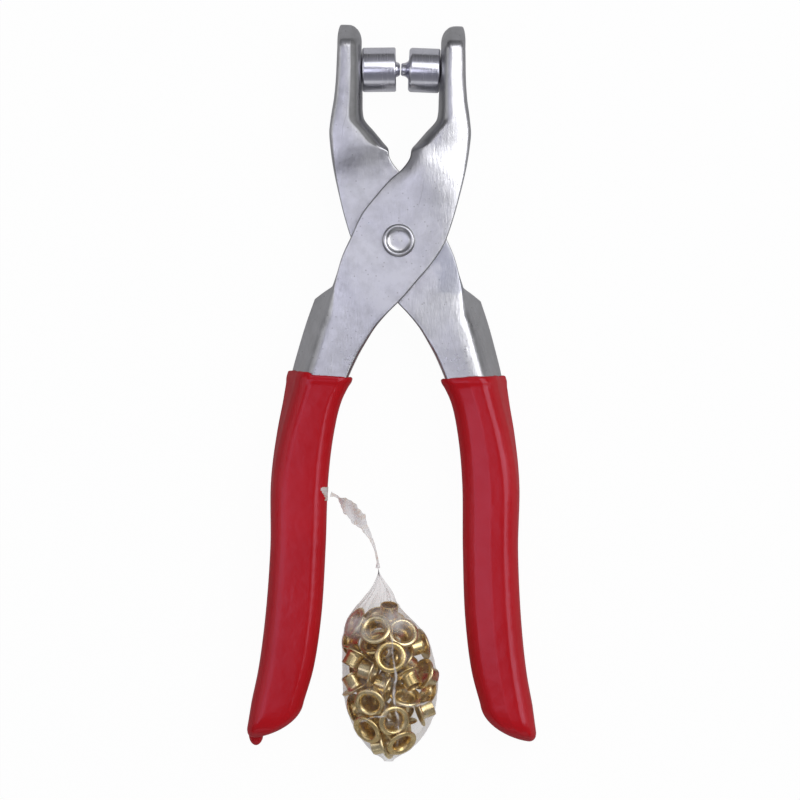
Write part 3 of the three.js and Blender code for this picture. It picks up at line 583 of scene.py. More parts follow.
setter = make_die("setter_die", "front_side", setter_profile(), False)
anvil = make_die("anvil_die", "back_side", anvil_profile(), True)

# Pivot rivet: rolled rim and dished middle in front, low domed head behind
FRONT_FACE = ARM_DEPTH + FRONT_LIFT
BACK_FACE = ARM_DEPTH - FRONT_LIFT - SHEET
RIVET_PROFILE = [[radius, face + height] for face, part in (
    (BACK_FACE, ((0, -2.0), (2.4, -1.9), (4.2, -1.2), (5.1, -0.3), (5.1, -0.05), (3.2, -0.05))),
    (FRONT_FACE, (
        (3.2, 0.05), (4.1, 0.05), (4.42, 0.45), (4.30, 1.0), (3.85, 1.42), (3.35, 1.30),
        (3.05, 0.95), (2.6, 0.72), (1.6, 0.62), (0.6, 0.66), (0, 0.70))),
) for radius, height in part]
rivet = lathe("pivot_rivet_set", soft_profile(RIVET_PROFILE, 0.35, 5), ROUND_STEPS, sharp=50)
rides(rivet, "back_side", "satin_steel", "pivot_rivet")

# Dipped grips
GRIP_STEPS = 160
GRIP_END_STEPS = 26
GRIP_CORNER = 2.3
GRIP_LONGER = 0.4
GRIP_SWEEP = 1.4
GRIP_END_FLAT = 5
GRIP_MIDDLE = (ARM_DEPTH + HANDLE_LIFT) / 2
GRIP_ARCS = [6, 12, 12, 6]
GRIP_RUNS = [6, 10, 16, 10, 6]
# The lip: how it wavers (height and scale), steps, swells and is rounded (share and height)
LIP_SHARE = 0.3
LIP_WAVES = [(0.35, 0.22), (0.12, 0.9)]
LIP_STEP = 0.6
LIP_STEP_AT = -22.6
LIP_STEP_WIDTH = 0.5
LIP_FADE = 2.2
LIP_SWELL = 0.02
LIP_SWELL_AT = 1.1
LIP_SWELL_WIDTH = 0.9
LIP_ROUNDING = [(0.12, 0.16), (0.45, 0.32), (0.85, 0.18)]
DRIP_CENTRE = (-36.0, -131.4)
DRIP_RADII = (1.95, 3.1, 1.9)


def grip_ring(place, crown, grow=HANDLE_LIFT, top=GRIP_FOLD_RADIUS, bottom=GRIP_EDGE_RADIUS):
    """A closed ring round the handle, grown out from the channel's faces."""
    station = station_at(place)
    width = np.linalg.norm(station["right"] - station["left"])
    foot, roof = HANDLE_LIFT - grow, ARM_DEPTH + grow
    corners = [across_and_up(*corner) for corner in (
        (-station["splay"] - grow, foot), (-grow, roof), (width + grow, roof),
        (width + grow, foot))]
    start = (corners[0] + corners[3]) / 2
    section = rounded_path(
        [start, *corners, start], [bottom, top, top, bottom], GRIP_ARCS, GRIP_RUNS)[:-1]
    share = np.clip((section[:, 0] + grow) / (width + 2 * grow), 0, 1)
    near_top = np.clip((section[:, 2] - ARM_DEPTH / 2) / (roof - ARM_DEPTH / 2), 0, 1) ** 2
    section[:, 2] += crown(share) * near_top
    return placed(section, station)


def grip_tip(end):
    """The rings that close a grip's end, swept in from its inner side."""
    outer_x, inner_x = end[:, 0].min(), end[:, 0].max()
    across = (end[:, 0] - outer_x) / (inner_x - outer_x)
    reach = HANDLE_LENGTH + GRIP_LONGER - abs(station_at(LAST)["left"][1])
    rings = []
    for k in range(1, GRIP_END_STEPS):
        angle = math.pi / 2 * k / GRIP_END_STEPS
        shrink, down = math.cos(angle), math.sin(angle)
        into_corner = max(1 - (1 - down) * reach / GRIP_CORNER, 0)
        outer_side = GRIP_CORNER * (1 - math.sqrt(1 - into_corner ** 2))
        inner_side = (inner_x - outer_x) * shrink ** GRIP_SWEEP + GRIP_CORNER * down ** 2
        flat = math.sqrt(1 - down ** GRIP_END_FLAT)
        depth = between(GRIP_TIP_DEPTH_SHARE, 1, flat)
        ring = end.copy()
        shift = outer_x - GRIP_TIP_DRIFT * down
        ring[:, 0] = shift + between(outer_side, inner_side, across)
        ring[:, 1] = end[:, 1] - reach * down
        ring[:, 2] = GRIP_MIDDLE + (end[:, 2] - GRIP_MIDDLE) * depth
        rings.append(ring)
    return rings


def make_grip(node, body, mirror, crown, drip, seed):
    """A dipped grip. Its lip swells a little and wavers, as dipping leaves it."""
    places = np.linspace(place_at_height(LEFT, -GRIP_START), LAST, GRIP_STEPS)
    outer = [grip_ring(place, crown) for place in places]
    outer = np.array(outer + grip_tip(outer[-1]))
    inner = np.array([
        grip_ring(place, lambda share: 0, GRIP_GAP * LIP_SHARE, FOLD_RADIUS, CUT_EDGE)
        for place in places])
    along = np.linalg.norm(np.diff(outer[:, 0], axis=0, prepend=outer[:1, 0]), axis=1).cumsum()
    waver = sum(high * value_noise(outer[0], scale, seed + k)
                for k, (high, scale) in enumerate(LIP_WAVES))
    if drip:
        waver += LIP_STEP * np.clip((LIP_STEP_AT - outer[0][:, 0]) / LIP_STEP_WIDTH, 0, 1)
    fade = np.exp(-along / LIP_FADE)[:, None]
    outer[:, :, 1] += fade * waver
    inner[:, :, 1] += fade[:len(inner)] * waver
    swell = 1 + LIP_SWELL * np.exp(-((along - LIP_SWELL_AT) / LIP_SWELL_WIDTH) ** 2)
    centres = outer.mean(axis=1, keepdims=True)
    outer = centres + (outer - centres) * swell[:, None, None]
    edge = [between(inner[0], outer[0], share) + [0, height, 0] for share, height in LIP_ROUNDING]
    rows = [*inner[::-1], *edge, *outer]
    points = np.concatenate(rows)
    if mirror:
        points = mirrored(points)
    faces = tube_faces(len(rows), outer.shape[1])
    grip = make_piece(node + "_dipped", points, faces, sharp=50)
    if drip:
        join_drip(grip)
    return rides(grip, body, "red_vinyl", node)


def join_drip(grip):
    """A hardened drip under the tip, melted into the grip."""
    bm = bmesh.new()
    centre = np.array([*DRIP_CENTRE, GRIP_MIDDLE]) * MM + ORIGIN
    drop = Matrix.Translation(centre) @ Matrix.Diagonal((*(r * MM for r in DRIP_RADII), 1))
    bmesh.ops.create_uvsphere(bm, u_segments=48, v_segments=32, radius=1, matrix=drop)
    mesh = bpy.data.meshes.new("drip")
    bm.to_mesh(mesh)
    bm.free()
    combine(grip, new_object("drip", mesh), "UNION", 60)


# How far the grips' faces bulge, from the outer side (share 0) to the inner one (1)
def left_crown(share):
    return 0.4 * (1 - share ** 2) - 0.15


def right_crown(share):
    """A ridge along the middle: flat outside it, sloping inside it."""
    return 1.4 * np.clip((1 - share) / 0.5, 0, 1) - 0.2 - 0.6 * np.clip(0.3 - share, 0, 1)


left_grip = make_grip("left_grip", "front_side", False, left_crown, True, 3)
right_grip = make_grip("right_grip", "back_side", True, right_crown, False, 7)

# Eyelets, each on the place and axis of its CAD node
EYELET_HALF = 2.2
EYELET_PROFILE = [
    [2.10, -EYELET_HALF], [2.38, -EYELET_HALF], [2.4, -EYELET_HALF + 0.2], [2.42, 0.5],
    [2.55, 1.05], [2.9, 1.42], [3.4, 1.58], [3.9, 1.52], [4.2, 1.42], [4.3, 1.55],
    [4.22, 1.85], [3.9, 2.1], [3.45, 2.2], [3.05, 2.1], [2.7, 1.8], [2.42, 1.3], [2.2, 0.6],
    [2.1, -0.4], [2.06, -EYELET_HALF + 0.1]]


def eyelet_place(node):
    """The centre of a CAD eyelet, with Z along its axis towards the flange."""
    points = np.array([v.co for v in frame["nodes"][node].data.vertices]) / MM
    offsets = points - points.mean(0)
    values, vectors = np.linalg.eigh(offsets.T @ offsets)
    gaps = [abs(values[k - 1] - values[k - 2]) for k in range(3)]
    axis = vectors[:, np.argmin(gaps)]
    along = offsets @ axis
    radius = np.linalg.norm(offsets - along[:, None] * axis, axis=1)
    if (along * (radius - radius.mean())).sum() < 0:
        axis, along = -axis, -along
    centre = points.mean(0) + axis * (along.max() + along.min()) / 2
    turn = Vector(axis).to_track_quat("Z", "Y").to_matrix().to_4x4()
    return Matrix.Translation(Vector(centre * MM)) @ turn


def eyelet_mesh():
    profile = soft_profile(EYELET_PROFILE, 0.1, 2)
    piece = lathe("eyelet_form", [*profile, profile[0]], 48, sharp=45)
    mesh = piece.data
    mesh.transform(Matrix.Translation(-Vector(ORIGIN)))
    bpy.data.objects.remove(piece)
    return mesh


eyelet_form = eyelet_mesh()
eyelet_nodes = sorted(n for n in frame["nodes"] if n.startswith("eyelet_") and n != "eyelet_bag")
eyelets = []
for node in eyelet_nodes:
    piece = new_object(node + "_rolled", eyelet_form)
    piece.matrix_world = eyelet_place(node)
    eyelets.append(rides(piece, "bag", "brass", node))


# The bag's film: it is drawn in over the eyelets from the plain outline of the CAD solid
# Milky lines along creases in its front, which are also painted highlights: start, end, width and
# waver
BAG_CREASE_HIGHLIGHTS = [
    ((-0.2, -103.0), (1.6, -134.5), 0.45, 0.8),
    ((-0.4, -123.4), (10.6, -122.0), 0.4, 0.7),
    ((-9.0, -127.5), (-1.0, -126.0), 0.35, 0.6),
]

# The film's mesh, and how it is drawn in: smoothed and moved inward in rounds
BAG_ROWS = 150
BAG_COLUMNS = 168
BAG_ANGLES = np.linspace(0, 2 * math.pi, BAG_COLUMNS, endpoint=False)
OUTLINE_ROUNDS = 8
DRAW_ROUNDS = 26
DRAW_SMOOTH = 0.7
DRAW_INWARD = 0.045
DRAW_CLEARANCE = 0.12
DRAW_MOST = 1.6


def smooth_rows(values):
    for _ in range(OUTLINE_ROUNDS):
        values[1:-1] = (values[:-2] + 2 * values[1:-1] + values[2:]) / 4
    return values


def bag_grid():
    """Rings down the bag, from its middle and its half width and depth at each share."""
    table = np.array(BAG_SHARES)
    shares = np.linspace(table[0, 0], 1.0, BAG_ROWS)
    left, right, depth = (np.interp(shares, table[:, 0], table[:, k]) for k in (1, 2, 3))
    middle = smooth_rows(BAG_SHIFT + BAG_WIDTH * (left + right) / 2)
    half_width = smooth_rows(BAG_WIDTH * (right - left) / 2)
    half_depth = smooth_rows(BAG_DEPTH * depth / 2)
    return np.array([np.stack([
        centre + width * np.cos(BAG_ANGLES),
        np.full(BAG_COLUMNS, -BAG_DROP - BAG_LENGTH * share),
        BAG_DEPTH / 2 + depth * np.sin(BAG_ANGLES)], axis=-1)
        for share, centre, width, depth in zip(shares, middle, half_width, half_depth)])


def eyelet_tree():
    bm = bmesh.new()
    for piece in eyelets:
        part = eyelet_form.copy()
        part.transform(piece.matrix_world)
        bm.from_mesh(part)
        bpy.data.meshes.remove(part)
    tree = BVHTree.FromBMesh(bm)
    bm.free()
    return tree


def from_centres(grid):
    return grid - grid.mean(axis=1, keepdims=True)


def lengths(grid):
    return np.maximum(np.linalg.norm(grid, axis=2, keepdims=True), 1e-6)


def drawn_in(grid, tree):
    """The film pulls itself smooth and short, and rests on the eyelets."""
    base = grid.copy()
    for _ in range(DRAW_ROUNDS):
        mean = (np.roll(grid, 1, axis=1) + np.roll(grid, -1, axis=1)) / 4
        mean[1:-1] += (grid[:-2] + grid[2:]) / 4
        grid[1:-1] += DRAW_SMOOTH * (mean - grid)[1:-1]
        inward = -from_centres(grid)
        inward[:, :, 1] = 0
        grid[2:-1] += DRAW_INWARD * (inward / lengths(inward))[2:-1]
        away = grid - base
        grid = base + away * np.minimum(1, DRAW_MOST / lengths(away))
        for i in range(1, len(grid) - 1):
            for j in range(grid.shape[1]):
                at = Vector(grid[i, j] * MM + ORIGIN)
                near, normal, _, distance = tree.find_nearest(at, DRAW_CLEARANCE * MM * 4)
                if near is None:
                    continue
                outside = (at - near).dot(normal) > 0
                if outside and distance >= DRAW_CLEARANCE * MM:
                    continue
                grid[i, j] = (np.array(near + normal * DRAW_CLEARANCE * MM) - ORIGIN) / MM
    return grid


# Gathers below the neck: scale, height, and the share of the length where they are and reach.
# Creases all over: scale and height.
GATHERS = (1.9, 1.3, 0.15, 0.1)
CREASES = [(0.28, 0.22), (0.9, 0.07)]
DEEPEST_CREASE = -0.1


def crinkled(grid):
    """Long gathers below the neck and small creases over the rest."""
    points = grid.reshape(-1, 3)
    rows = np.repeat(np.linspace(0, 1, BAG_ROWS), BAG_COLUMNS)
    angle = np.tile(BAG_ANGLES, BAG_ROWS)
    around = np.stack([np.cos(angle) * 3, np.sin(angle) * 3, rows * 0.8], axis=-1)
    scale, height, at, reach = GATHERS
    gathers = value_noise(around, scale, 11) * np.exp(-((rows - at) / reach) ** 2) * height
    (large, high), (small, low) = CREASES
    creases = (0.5 - np.abs(value_noise(points, large, 12))) * high
    creases += value_noise(points, small, 13) * low
    edge = np.clip(np.minimum(rows, 1 - rows) * 25, 0, 1)
    move = (gathers + np.maximum(creases, DEEPEST_CREASE)) * edge
    out = from_centres(grid)
    return grid + out / lengths(out) * move.reshape(BAG_ROWS, BAG_COLUMNS, 1)


bag = bag_grid()
bag = drawn_in(bag, eyelet_tree())
film_points = crinkled(bag).reshape(-1, 3)
film = make_piece("eyelet_bag_film", film_points, tube_faces(BAG_ROWS, BAG_COLUMNS), sharp=180)
rides(film, "bag", "clear_film", "eyelet_bag")

# The tail: film drawn to a thread above the bag, opening to a crumpled leaf towards the grip
TAIL_ROUTE = [np.array(p) for p in (
    [-4.22, -86.9, 9.3], [-4.5, -84.4, 9.4], [-5.6, -80.6, 9.9], [-7.6, -76.8, 10.6],
    [-10.4, -72.9, 11.4], [-13.6, -69.4, 12.2], [-15.7, -67.9, 12.8], [-17.0, -67.5, 13.2])]
# Half width, half thickness and turn at each point of the route
TAIL_SECTIONS = [np.array(s) for s in (
    [0.55, 0.4, 0.0], [0.32, 0.26, 1.2], [0.42, 0.26, 2.4], [0.9, 0.24, 3.1], [2.2, 0.22, 3.5],
    [1.9, 0.22, 3.9], [0.6, 0.25, 5.0], [0.7, 0.2, 6.0])]
TAIL_RINGS = 260
TAIL_SIDES = 56
TAIL_STEP = 0.03
TAIL_CRUMPLE = 0.07


def make_tail():
    rows = []
    last = len(TAIL_ROUTE) - 1
    angle = np.linspace(0, 2 * math.pi, TAIL_SIDES, endpoint=False)
    for k in range(TAIL_RINGS):
        t = k / (TAIL_RINGS - 1) * last
        before, at, after = (
            catmull(TAIL_ROUTE, p) for p in (max(t - TAIL_STEP, 0), t, min(t + TAIL_STEP, last)))
        forward = unit(after - before)
        side = unit(np.cross(forward, [0, 0, 1]))
        up = np.cross(side, forward)
        wide, thin, turn = catmull(TAIL_SECTIONS, t)
        a = wide * np.cos(angle)
        wave = 0.5 * wide * np.sin(2.6 * a / wide + 1.7 * t) * math.sin(1.9 * t + 0.4)
        b = thin * np.sin(angle) + 0.35 * wave
        a = a * (1 + 0.10 * math.sin(7.3 * t) + 0.06 * math.sin(17.1 * t + 1))
        x = a * math.cos(turn) - b * math.sin(turn)
        z = a * math.sin(turn) + b * math.cos(turn)
        rows.append(at + x[:, None] * side + z[:, None] * up)
    points = np.concatenate(rows)
    crumple = np.stack([value_noise(points, 1.1, k) for k in (21, 22, 23)], axis=-1)
    points += TAIL_CRUMPLE * crumple
    return make_piece("bag_tail_twist", points, tube_faces(TAIL_RINGS, TAIL_SIDES), sharp=180)


tail = rides(make_tail(), "bag", "clear_film", "bag_tail")

# The tail's end is stuck round the inner edge of the left grip
TAB_TOP = -65.6
TAB_BOTTOM = -69.2
TAB_ROWS = 26
TAB_COLUMNS = 30
TAB_STAND_OFF = 0.06
TAB_FILM = 0.12
TAB_REACH = 1.3
TAB_LOW = 5.5


def make_tab():
    rows = []
    for k, y in enumerate(np.linspace(TAB_TOP, TAB_BOTTOM, TAB_ROWS)):
        place = place_at_height(RIGHT, y)
        section = grip_ring(place, left_crown, HANDLE_LIFT + TAB_STAND_OFF)
        inner_side = section[section[:, 0].argmax()][0]
        share = k / (TAB_ROWS - 1)
        least_x = inner_side - TAB_REACH - 0.6 * math.sin(5 * share + 0.6)
        least_z = TAB_LOW + 1.2 * math.sin(3.1 * share)
        keep = [p for p in section if p[0] > least_x and p[2] > least_z]
        keep = np.array(sorted(keep, key=lambda p: (p[2], -p[0])))
        run = np.linalg.norm(np.diff(keep, axis=0), axis=1).cumsum()
        run = np.concatenate([[0], run]) / run[-1]
        even = np.linspace(0, 1, TAB_COLUMNS)
        rows.append(np.stack([np.interp(even, run, keep[:, c]) for c in range(3)], axis=-1))
    points = np.concatenate(rows)
    points[:, 0] += 0.10 * (value_noise(points, 1.3, 31) + 0.4)
    tab = make_piece("tail_tab_patch", points, grid_faces(TAB_ROWS, TAB_COLUMNS), sharp=180)
    thick = tab.modifiers.new("film", "SOLIDIFY")
    thick.thickness = TAB_FILM * MM
    thick.offset = 0
    apply_modifiers(tab, 180)
    return tab


tab = rides(make_tab(), "front_side", "clear_film", "tail_tab")


# Materials
def fill(tree, node, inputs):
    """Links sockets to a node's inputs, and sets the others."""
    for key, value in inputs.items():
        if isinstance(value, bpy.types.NodeSocket):
            tree.links.new(value, node.inputs[key])
        else:
            node.inputs[key].default_value = value


def add(tree, kind, inputs=None, **settings):
    """Adds a node, and gives its outputs."""
    node = tree.nodes.new("ShaderNode" + kind)
    for key, value in settings.items():
        setattr(node, key, value)
    fill(tree, node, inputs or {})
    return node.outputs


def principled(name, looks):
    """A material whose shader gets what a function of its node tree gives."""
    material = bpy.data.materials.new(name)
    material.use_nodes = True
    tree = material.node_tree
    fill(tree, tree.nodes["Principled BSDF"], looks(tree))
    return material


def object_place(tree, stretch=(1, 1, 1)):
    place = add(tree, "TexCoord")["Object"]
    return add(tree, "Mapping", {"Vector": place, "Scale": stretch})[0]


def parts_of(tree, output):
    """X, Y and Z of a texture coordinate, such as Object or Normal."""
    return add(tree, "SeparateXYZ", {"Vector": add(tree, "TexCoord")[output]})


def noisy(tree, scale, detail=3.0, roughness=0.55, stretch=(1, 1, 1)):
    return add(tree, "TexNoise", {
        "Vector": object_place(tree, stretch), "Scale": scale, "Detail": detail,
        "Roughness": roughness})["Fac"]


def ramp(tree, fac, stops):
    colour_out = add(tree, "ValToRGB", {"Fac": fac})["Color"]
    elements = colour_out.node.color_ramp.elements
    while len(elements) < len(stops):
        elements.new(0.5)
    for element, (at, colour) in zip(elements, stops):
        element.position = at
        element.color = (*colour, 1)
    return colour_out


def mapped(tree, value, low, high, to_low=0.0, to_high=1.0):
    return add(tree, "MapRange", {
        "Value": value, "From Min": low, "From Max": high,
        "To Min": to_low, "To Max": to_high})[0]


def maths(tree, operation, value, *others):
    """One operation, or one after the other over several values."""
    for other in others or (0,):
        value = add(tree, "Math", {0: value, 1: other}, operation=operation)[0]
    return value


def product(tree, *values):
    return maths(tree, "MULTIPLY", *values)


def total(tree, *values):
    return maths(tree, "ADD", *values)


def highest(tree, *values):
    return maths(tree, "MAXIMUM", *values)


def mixed(tree, fac, a, b):
    return add(tree, "Mix", {0: fac, 6: a, 7: b}, data_type="RGBA")[2]


def bump(tree, height, distance, strength, normal=None):
    inputs = {"Height": height, "Distance": distance, "Strength": strength}
    if normal is not None:
        inputs["Normal"] = normal
    return add(tree, "Bump", inputs)[0]


def dot(tree, place, way):
    return add(tree, "VectorMath", {0: place, 1: way}, operation="DOT_PRODUCT")["Value"]


def crease(tree, start, end, width, waver):
    """1 on a wavering line between two places on the pliers, in millimetres, and 0 beside it."""
    start, end = (Vector(in_frame(p)) for p in (start, end))
    way = (end - start).normalized()
    side = Vector((-way.y, way.x))
    place = object_place(tree)
    shift = mapped(tree, noisy(tree, 140, 2), 0.3, 0.7, -waver * MM, waver * MM)
    across = maths(tree, "SUBTRACT", dot(tree, place, (*side, 0)), start.dot(side))
    off = maths(tree, "ABSOLUTE", total(tree, across, shift))
    line = mapped(tree, off, 0.0, width * MM, 1.0, 0.0)
    middle = (start.dot(way) + end.dot(way)) / 2
    half = (end - start).length / 2
    reach = maths(tree, "ABSOLUTE", maths(tree, "SUBTRACT", dot(tree, place, (*way, 0)), middle))
    return product(tree, line, mapped(tree, reach, half * 0.7, half, 1.0, 0.0))


# Painted bluish shade on the back arm: its middle and radii in millimetres from the pivot, and its
# turn
PAINTED_SHADE_PLACE = (14.0, -7.6, 12.85)
PAINTED_SHADE_RADII = (4.6, 8.0, 1.6)
PAINTED_SHADE_TURN = math.radians(-28)
# Where the jaws' inner folds get painted shade, and where the left jaw's bend is rougher and gets
# painted shade, in metres from the pivot
FOLD_ACROSS = (0.0130, 0.0150)
FOLD_UP = (0.019, 0.026)
BEND_ACROSS = (-0.0065, -0.0050)
BEND_UP = (0.014, 0.020)
# Long scratches on the plates: start, end, width and waver, in millimetres
STEEL_SCORES = [
    ((6.6, 17.0), (4.7, 8.6), 0.16, 0.5),
    ((14.0, -24.0), (16.5, -33.0), 0.10, 0.4),
    ((-15.5, 26.0), (-14.2, 37.0), 0.12, 0.4),
]


def from_pivot(tree):
    place = parts_of(tree, "Object")
    return [maths(tree, "SUBTRACT", place[k], ORIGIN[k]) for k in (0, 1)]


def fold_painted_shade(tree):
    """Painted shade: steep faces are darker, and most so along the inner folds of the jaws."""
    lean = parts_of(tree, "Normal")["Z"]
    across, up = from_pivot(tree)
    inner = mapped(tree, maths(tree, "ABSOLUTE", across), *FOLD_ACROSS, 1.0, 0.0)
    jaw = mapped(tree, up, *FOLD_UP)
    folded = product(tree, inner, jaw, mapped(tree, lean, 0.93, 0.995, 0.38, 0.0))
    return highest(tree, folded, mapped(tree, lean, 0.5, 0.9, 0.28, 0.0))


def dull_and_shaded_bend(tree):
    """The inner bend of the left jaw is rougher and darkened with painted shade, so that no light
    shows in it as a line.
    """
    normal = parts_of(tree, "Normal")
    across, up = from_pivot(tree)
    left = mapped(tree, across, *BEND_ACROSS, 1.0, 0.0)
    jaw = mapped(tree, up, *BEND_UP)
    starts = mapped(tree, normal["X"], 0.05, 0.16)
    ends = mapped(tree, normal["Z"], 0.60, 0.80)
    return product(tree, left, jaw, starts, ends)


def under_arm_painted_shade(tree):
    """Painted bluish shade on the back arm, where its handle comes out from under the front arm."""
    place = object_place(tree)
    edge = mapped(tree, noisy(tree, 160, 3), 0.3, 0.7, -0.35, 0.35)
    away = Vector(PAINTED_SHADE_PLACE) * -MM - Vector(ORIGIN)
    near = add(tree, "Mapping", {"Vector": place, "Location": away})[0]
    shares = [1 / (radius * MM) for radius in PAINTED_SHADE_RADII]
    turned = add(tree, "Mapping", {
        "Vector": near, "Rotation": (0, 0, PAINTED_SHADE_TURN), "Scale": shares})[0]
    off = add(tree, "VectorMath", {0: turned}, operation="LENGTH")["Value"]
    return mapped(tree, total(tree, off, edge), 0.75, 1.1, 0.5, 0.0)


def steel_looks(tree):
    blotch = noisy(tree, 70, 4)
    fine = noisy(tree, 900, 3, 0.6)
    brushed = noisy(tree, 1700, 2, 0.6, (1, 0.22, 1))
    broad = product(tree, noisy(tree, 26, 2), 0.3)
    mottle = product(tree, noisy(tree, 340, 4, 0.65), 0.4)
    base = ramp(tree, total(tree, broad, product(tree, blotch, 0.3), mottle), [
        (0.41, (0.51, 0.51, 0.53)), (0.5, (0.575, 0.575, 0.60)), (0.59, (0.65, 0.65, 0.68))])
    pits = add(tree, "TexVoronoi", {
        "Vector": object_place(tree), "Scale": 380.0}, voronoi_dimensions="2D")
    pit = mapped(tree, pits["Distance"], 0.02, 0.10, 1, 0)
    dark = product(tree, pit, mapped(tree, noisy(tree, 170, 2), 0.46, 0.60, 0, 0.7))
    for score in STEEL_SCORES:
        dark = highest(tree, dark, product(tree, crease(tree, *score), 0.5))
    base = mixed(tree, dark, base, (0.28, 0.27, 0.27, 1))
    # Painted bluish shade where the back arm comes out from under the front arm
    base = mixed(tree, under_arm_painted_shade(tree), base, (0.34, 0.36, 0.43, 1))
    # The left jaw's bend: rougher, and darkened with painted shade
    bend = dull_and_shaded_bend(tree)
    # Painted shade on steep faces, in the jaws' inner folds and along the left jaw's bend
    painted_shade = highest(tree, fold_painted_shade(tree), product(tree, bend, 0.9))
    waves = bump(tree, noisy(tree, 110, 2), 0.00020, 0.5)
    grain = bump(tree, brushed, 0.00010, 0.5, waves)
    return {
        "Base Color": mixed(tree, painted_shade, base, (0.22, 0.22, 0.22, 1)),
        "Metallic": 1,
        "Roughness": total(
            tree, mapped(tree, blotch, 0.3, 0.7, 0.28, 0.36),
            mapped(tree, fine, 0.3, 0.7, -0.03, 0.05), product(tree, bend, 0.3)),
        "Normal": bump(tree, product(tree, dark, -1), 0.00002, 0.3, grain)}


def polished_looks(tree):
    rings = noisy(tree, 1, 2, 0.5, (9000, 60, 60))
    return {
        "Base Color": ramp(tree, noisy(tree, 200), [
            (0.35, (0.70, 0.70, 0.77)), (0.7, (0.80, 0.80, 0.88))]),
        "Metallic": 1,
        "Roughness": mapped(tree, rings, 0.3, 0.7, 0.17, 0.28),
        "Normal": bump(tree, rings, 0.00002, 0.35)}


def vinyl_looks(tree):
    """Dipped vinyl, duller on its steep sides, where a hand rubs it."""
    handled = mapped(tree, parts_of(tree, "Normal")["Z"], 0.45, 0.88, 0.42, 0.0)
    peel = bump(tree, noisy(tree, 260, 2), 0.0003, 0.25)
    return {
        "Base Color": ramp(tree, noisy(tree, 45), [
            (0.3, (0.48, 0.006, 0.009)), (0.7, (0.54, 0.009, 0.013))]),
        "Roughness": total(tree, mapped(tree, noisy(tree, 300), 0.3, 0.7, 0.16, 0.24), handled),
        "Specular IOR Level": 0.36,
        "Specular Tint": (1.0, 0.72, 0.98, 1),
        "Normal": bump(tree, noisy(tree, 1500, 2), 0.00003, 0.3, peel)}


def brass_looks(tree):
    """Each eyelet has its own tone."""
    tone = ramp(tree, add(tree, "ObjectInfo")["Random"], [
        (0.0, (0.76, 0.57, 0.24)), (0.5, (0.84, 0.67, 0.34)), (1.0, (0.90, 0.76, 0.46))])
    tint = mapped(tree, noisy(tree, 500), 0.35, 0.7, 0.0, 0.3)
    return {
        "Base Color": mixed(tree, tint, tone, (0.55, 0.36, 0.13, 1)),
        "Metallic": 1,
        "Roughness": mapped(tree, noisy(tree, 900), 0.3, 0.7, 0.24, 0.38),
        "Normal": bump(tree, noisy(tree, 1300, 2), 0.00004, 0.4)}


def bag_haze_and_highlights(tree, haze):
    """The film is milky over the top eyelets, and milky lines along some folds over the bag's front
    are also painted highlights.
    """
    height = parts_of(tree, "Object")["Y"]
    veil = mapped(tree, noisy(tree, 130), 0.40, 0.62, 0.0, 0.75)
    neck = ORIGIN[1] - BAG_DROP * MM
    low, middle, high = (neck - share * BAG_LENGTH * MM for share in (0.30, 0.17, 0.06))
    rising = mapped(tree, height, low, middle)
    milky = product(tree, veil, rising, mapped(tree, height, middle, high, 1.0, 0.0))
    # Milky lines along the creases, which are also painted highlights
    for fold in BAG_CREASE_HIGHLIGHTS:
        gaps = mapped(tree, noisy(tree, 420, 2), 0.4, 0.6, 0.2, 0.75)
        milky = highest(tree, milky, product(tree, crease(tree, *fold), gaps))
    return highest(tree, haze, milky)


def film_material(name, colour, haze_low, haze_high, more_haze=None):
    """Clear film: it shows what is behind it, with a sheen at its edges and milky creases."""
    def looks(tree):
        streak = noisy(tree, 420, 4, 0.65, (1, 0.45, 1))
        normal = bump(tree, streak, 0.00010, 0.5)
        veil = mapped(tree, noisy(tree, 90), 0.45, 0.65, 0.25, 1.0)
        haze = product(tree, mapped(tree, streak, 0.50, 0.72), veil)
        haze = mapped(tree, haze, 0, 1, haze_low, haze_high)
        if more_haze:
            haze = more_haze(tree, haze)
        edge = add(tree, "Fresnel", {"IOR": 1.35, "Normal": normal})[0]
        share = maths(tree, "MINIMUM", total(tree, haze, product(tree, edge, 0.22)), 1.0)
        clear = add(tree, "BsdfTransparent")[0]
        film_shader = tree.nodes["Principled BSDF"].outputs[0]
        mix = add(tree, "MixShader", {0: share, 1: clear, 2: film_shader})[0]
        fill(tree, tree.nodes["Material Output"], {"Surface": mix})
        return {"Base Color": colour(tree), "Roughness": 0.15, "Normal": normal}

    return principled(name, looks)


def clear_colour(tree):
    return ramp(tree, noisy(tree, 160, 2), [
        (0.3, (0.88, 0.88, 0.87)), (0.7, (0.95, 0.95, 0.95))])


def creased_colour(tree):
    return ramp(tree, noisy(tree, 700, 3, 0.7), [
        (0.52, (0.97, 0.97, 0.96)), (0.58, (0.95, 0.90, 0.80)),
        (0.61, (0.76, 0.48, 0.26)), (0.64, (0.97, 0.95, 0.92))])


def dress(material, *pieces):
    for piece in pieces:
        piece.data.materials.clear()
        piece.data.materials.append(material)


dress(principled("satin_nickel_steel", steel_looks), *arms.values(), rivet)
dress(principled("turned_polished_steel", polished_looks), setter, anvil)
dress(principled("red_dipped_vinyl", vinyl_looks), left_grip, right_grip)
dress(principled("stamped_brass", brass_looks), eyelets[0])
dress(film_material("clear_film", clear_colour, 0.015, 0.36, bag_haze_and_highlights), film)
dress(film_material("gathered_film", creased_colour, 0.45, 0.95), tail)
dress(film_material("stuck_film", creased_colour, 0.45, 0.95), tab)


# Floor, light and camera
# What the camera sees of the floor, bare and through film, and what metal shows of it
FLOOR_REACH = 3.0
FLOOR_Z = -0.0002
FLOOR_WHITE = 0.97
FLOOR_THROUGH_FILM = 0.42
FLOOR_GLOSSY = 0.24
WHITE = {"Color": (1, 1, 1, 1)}


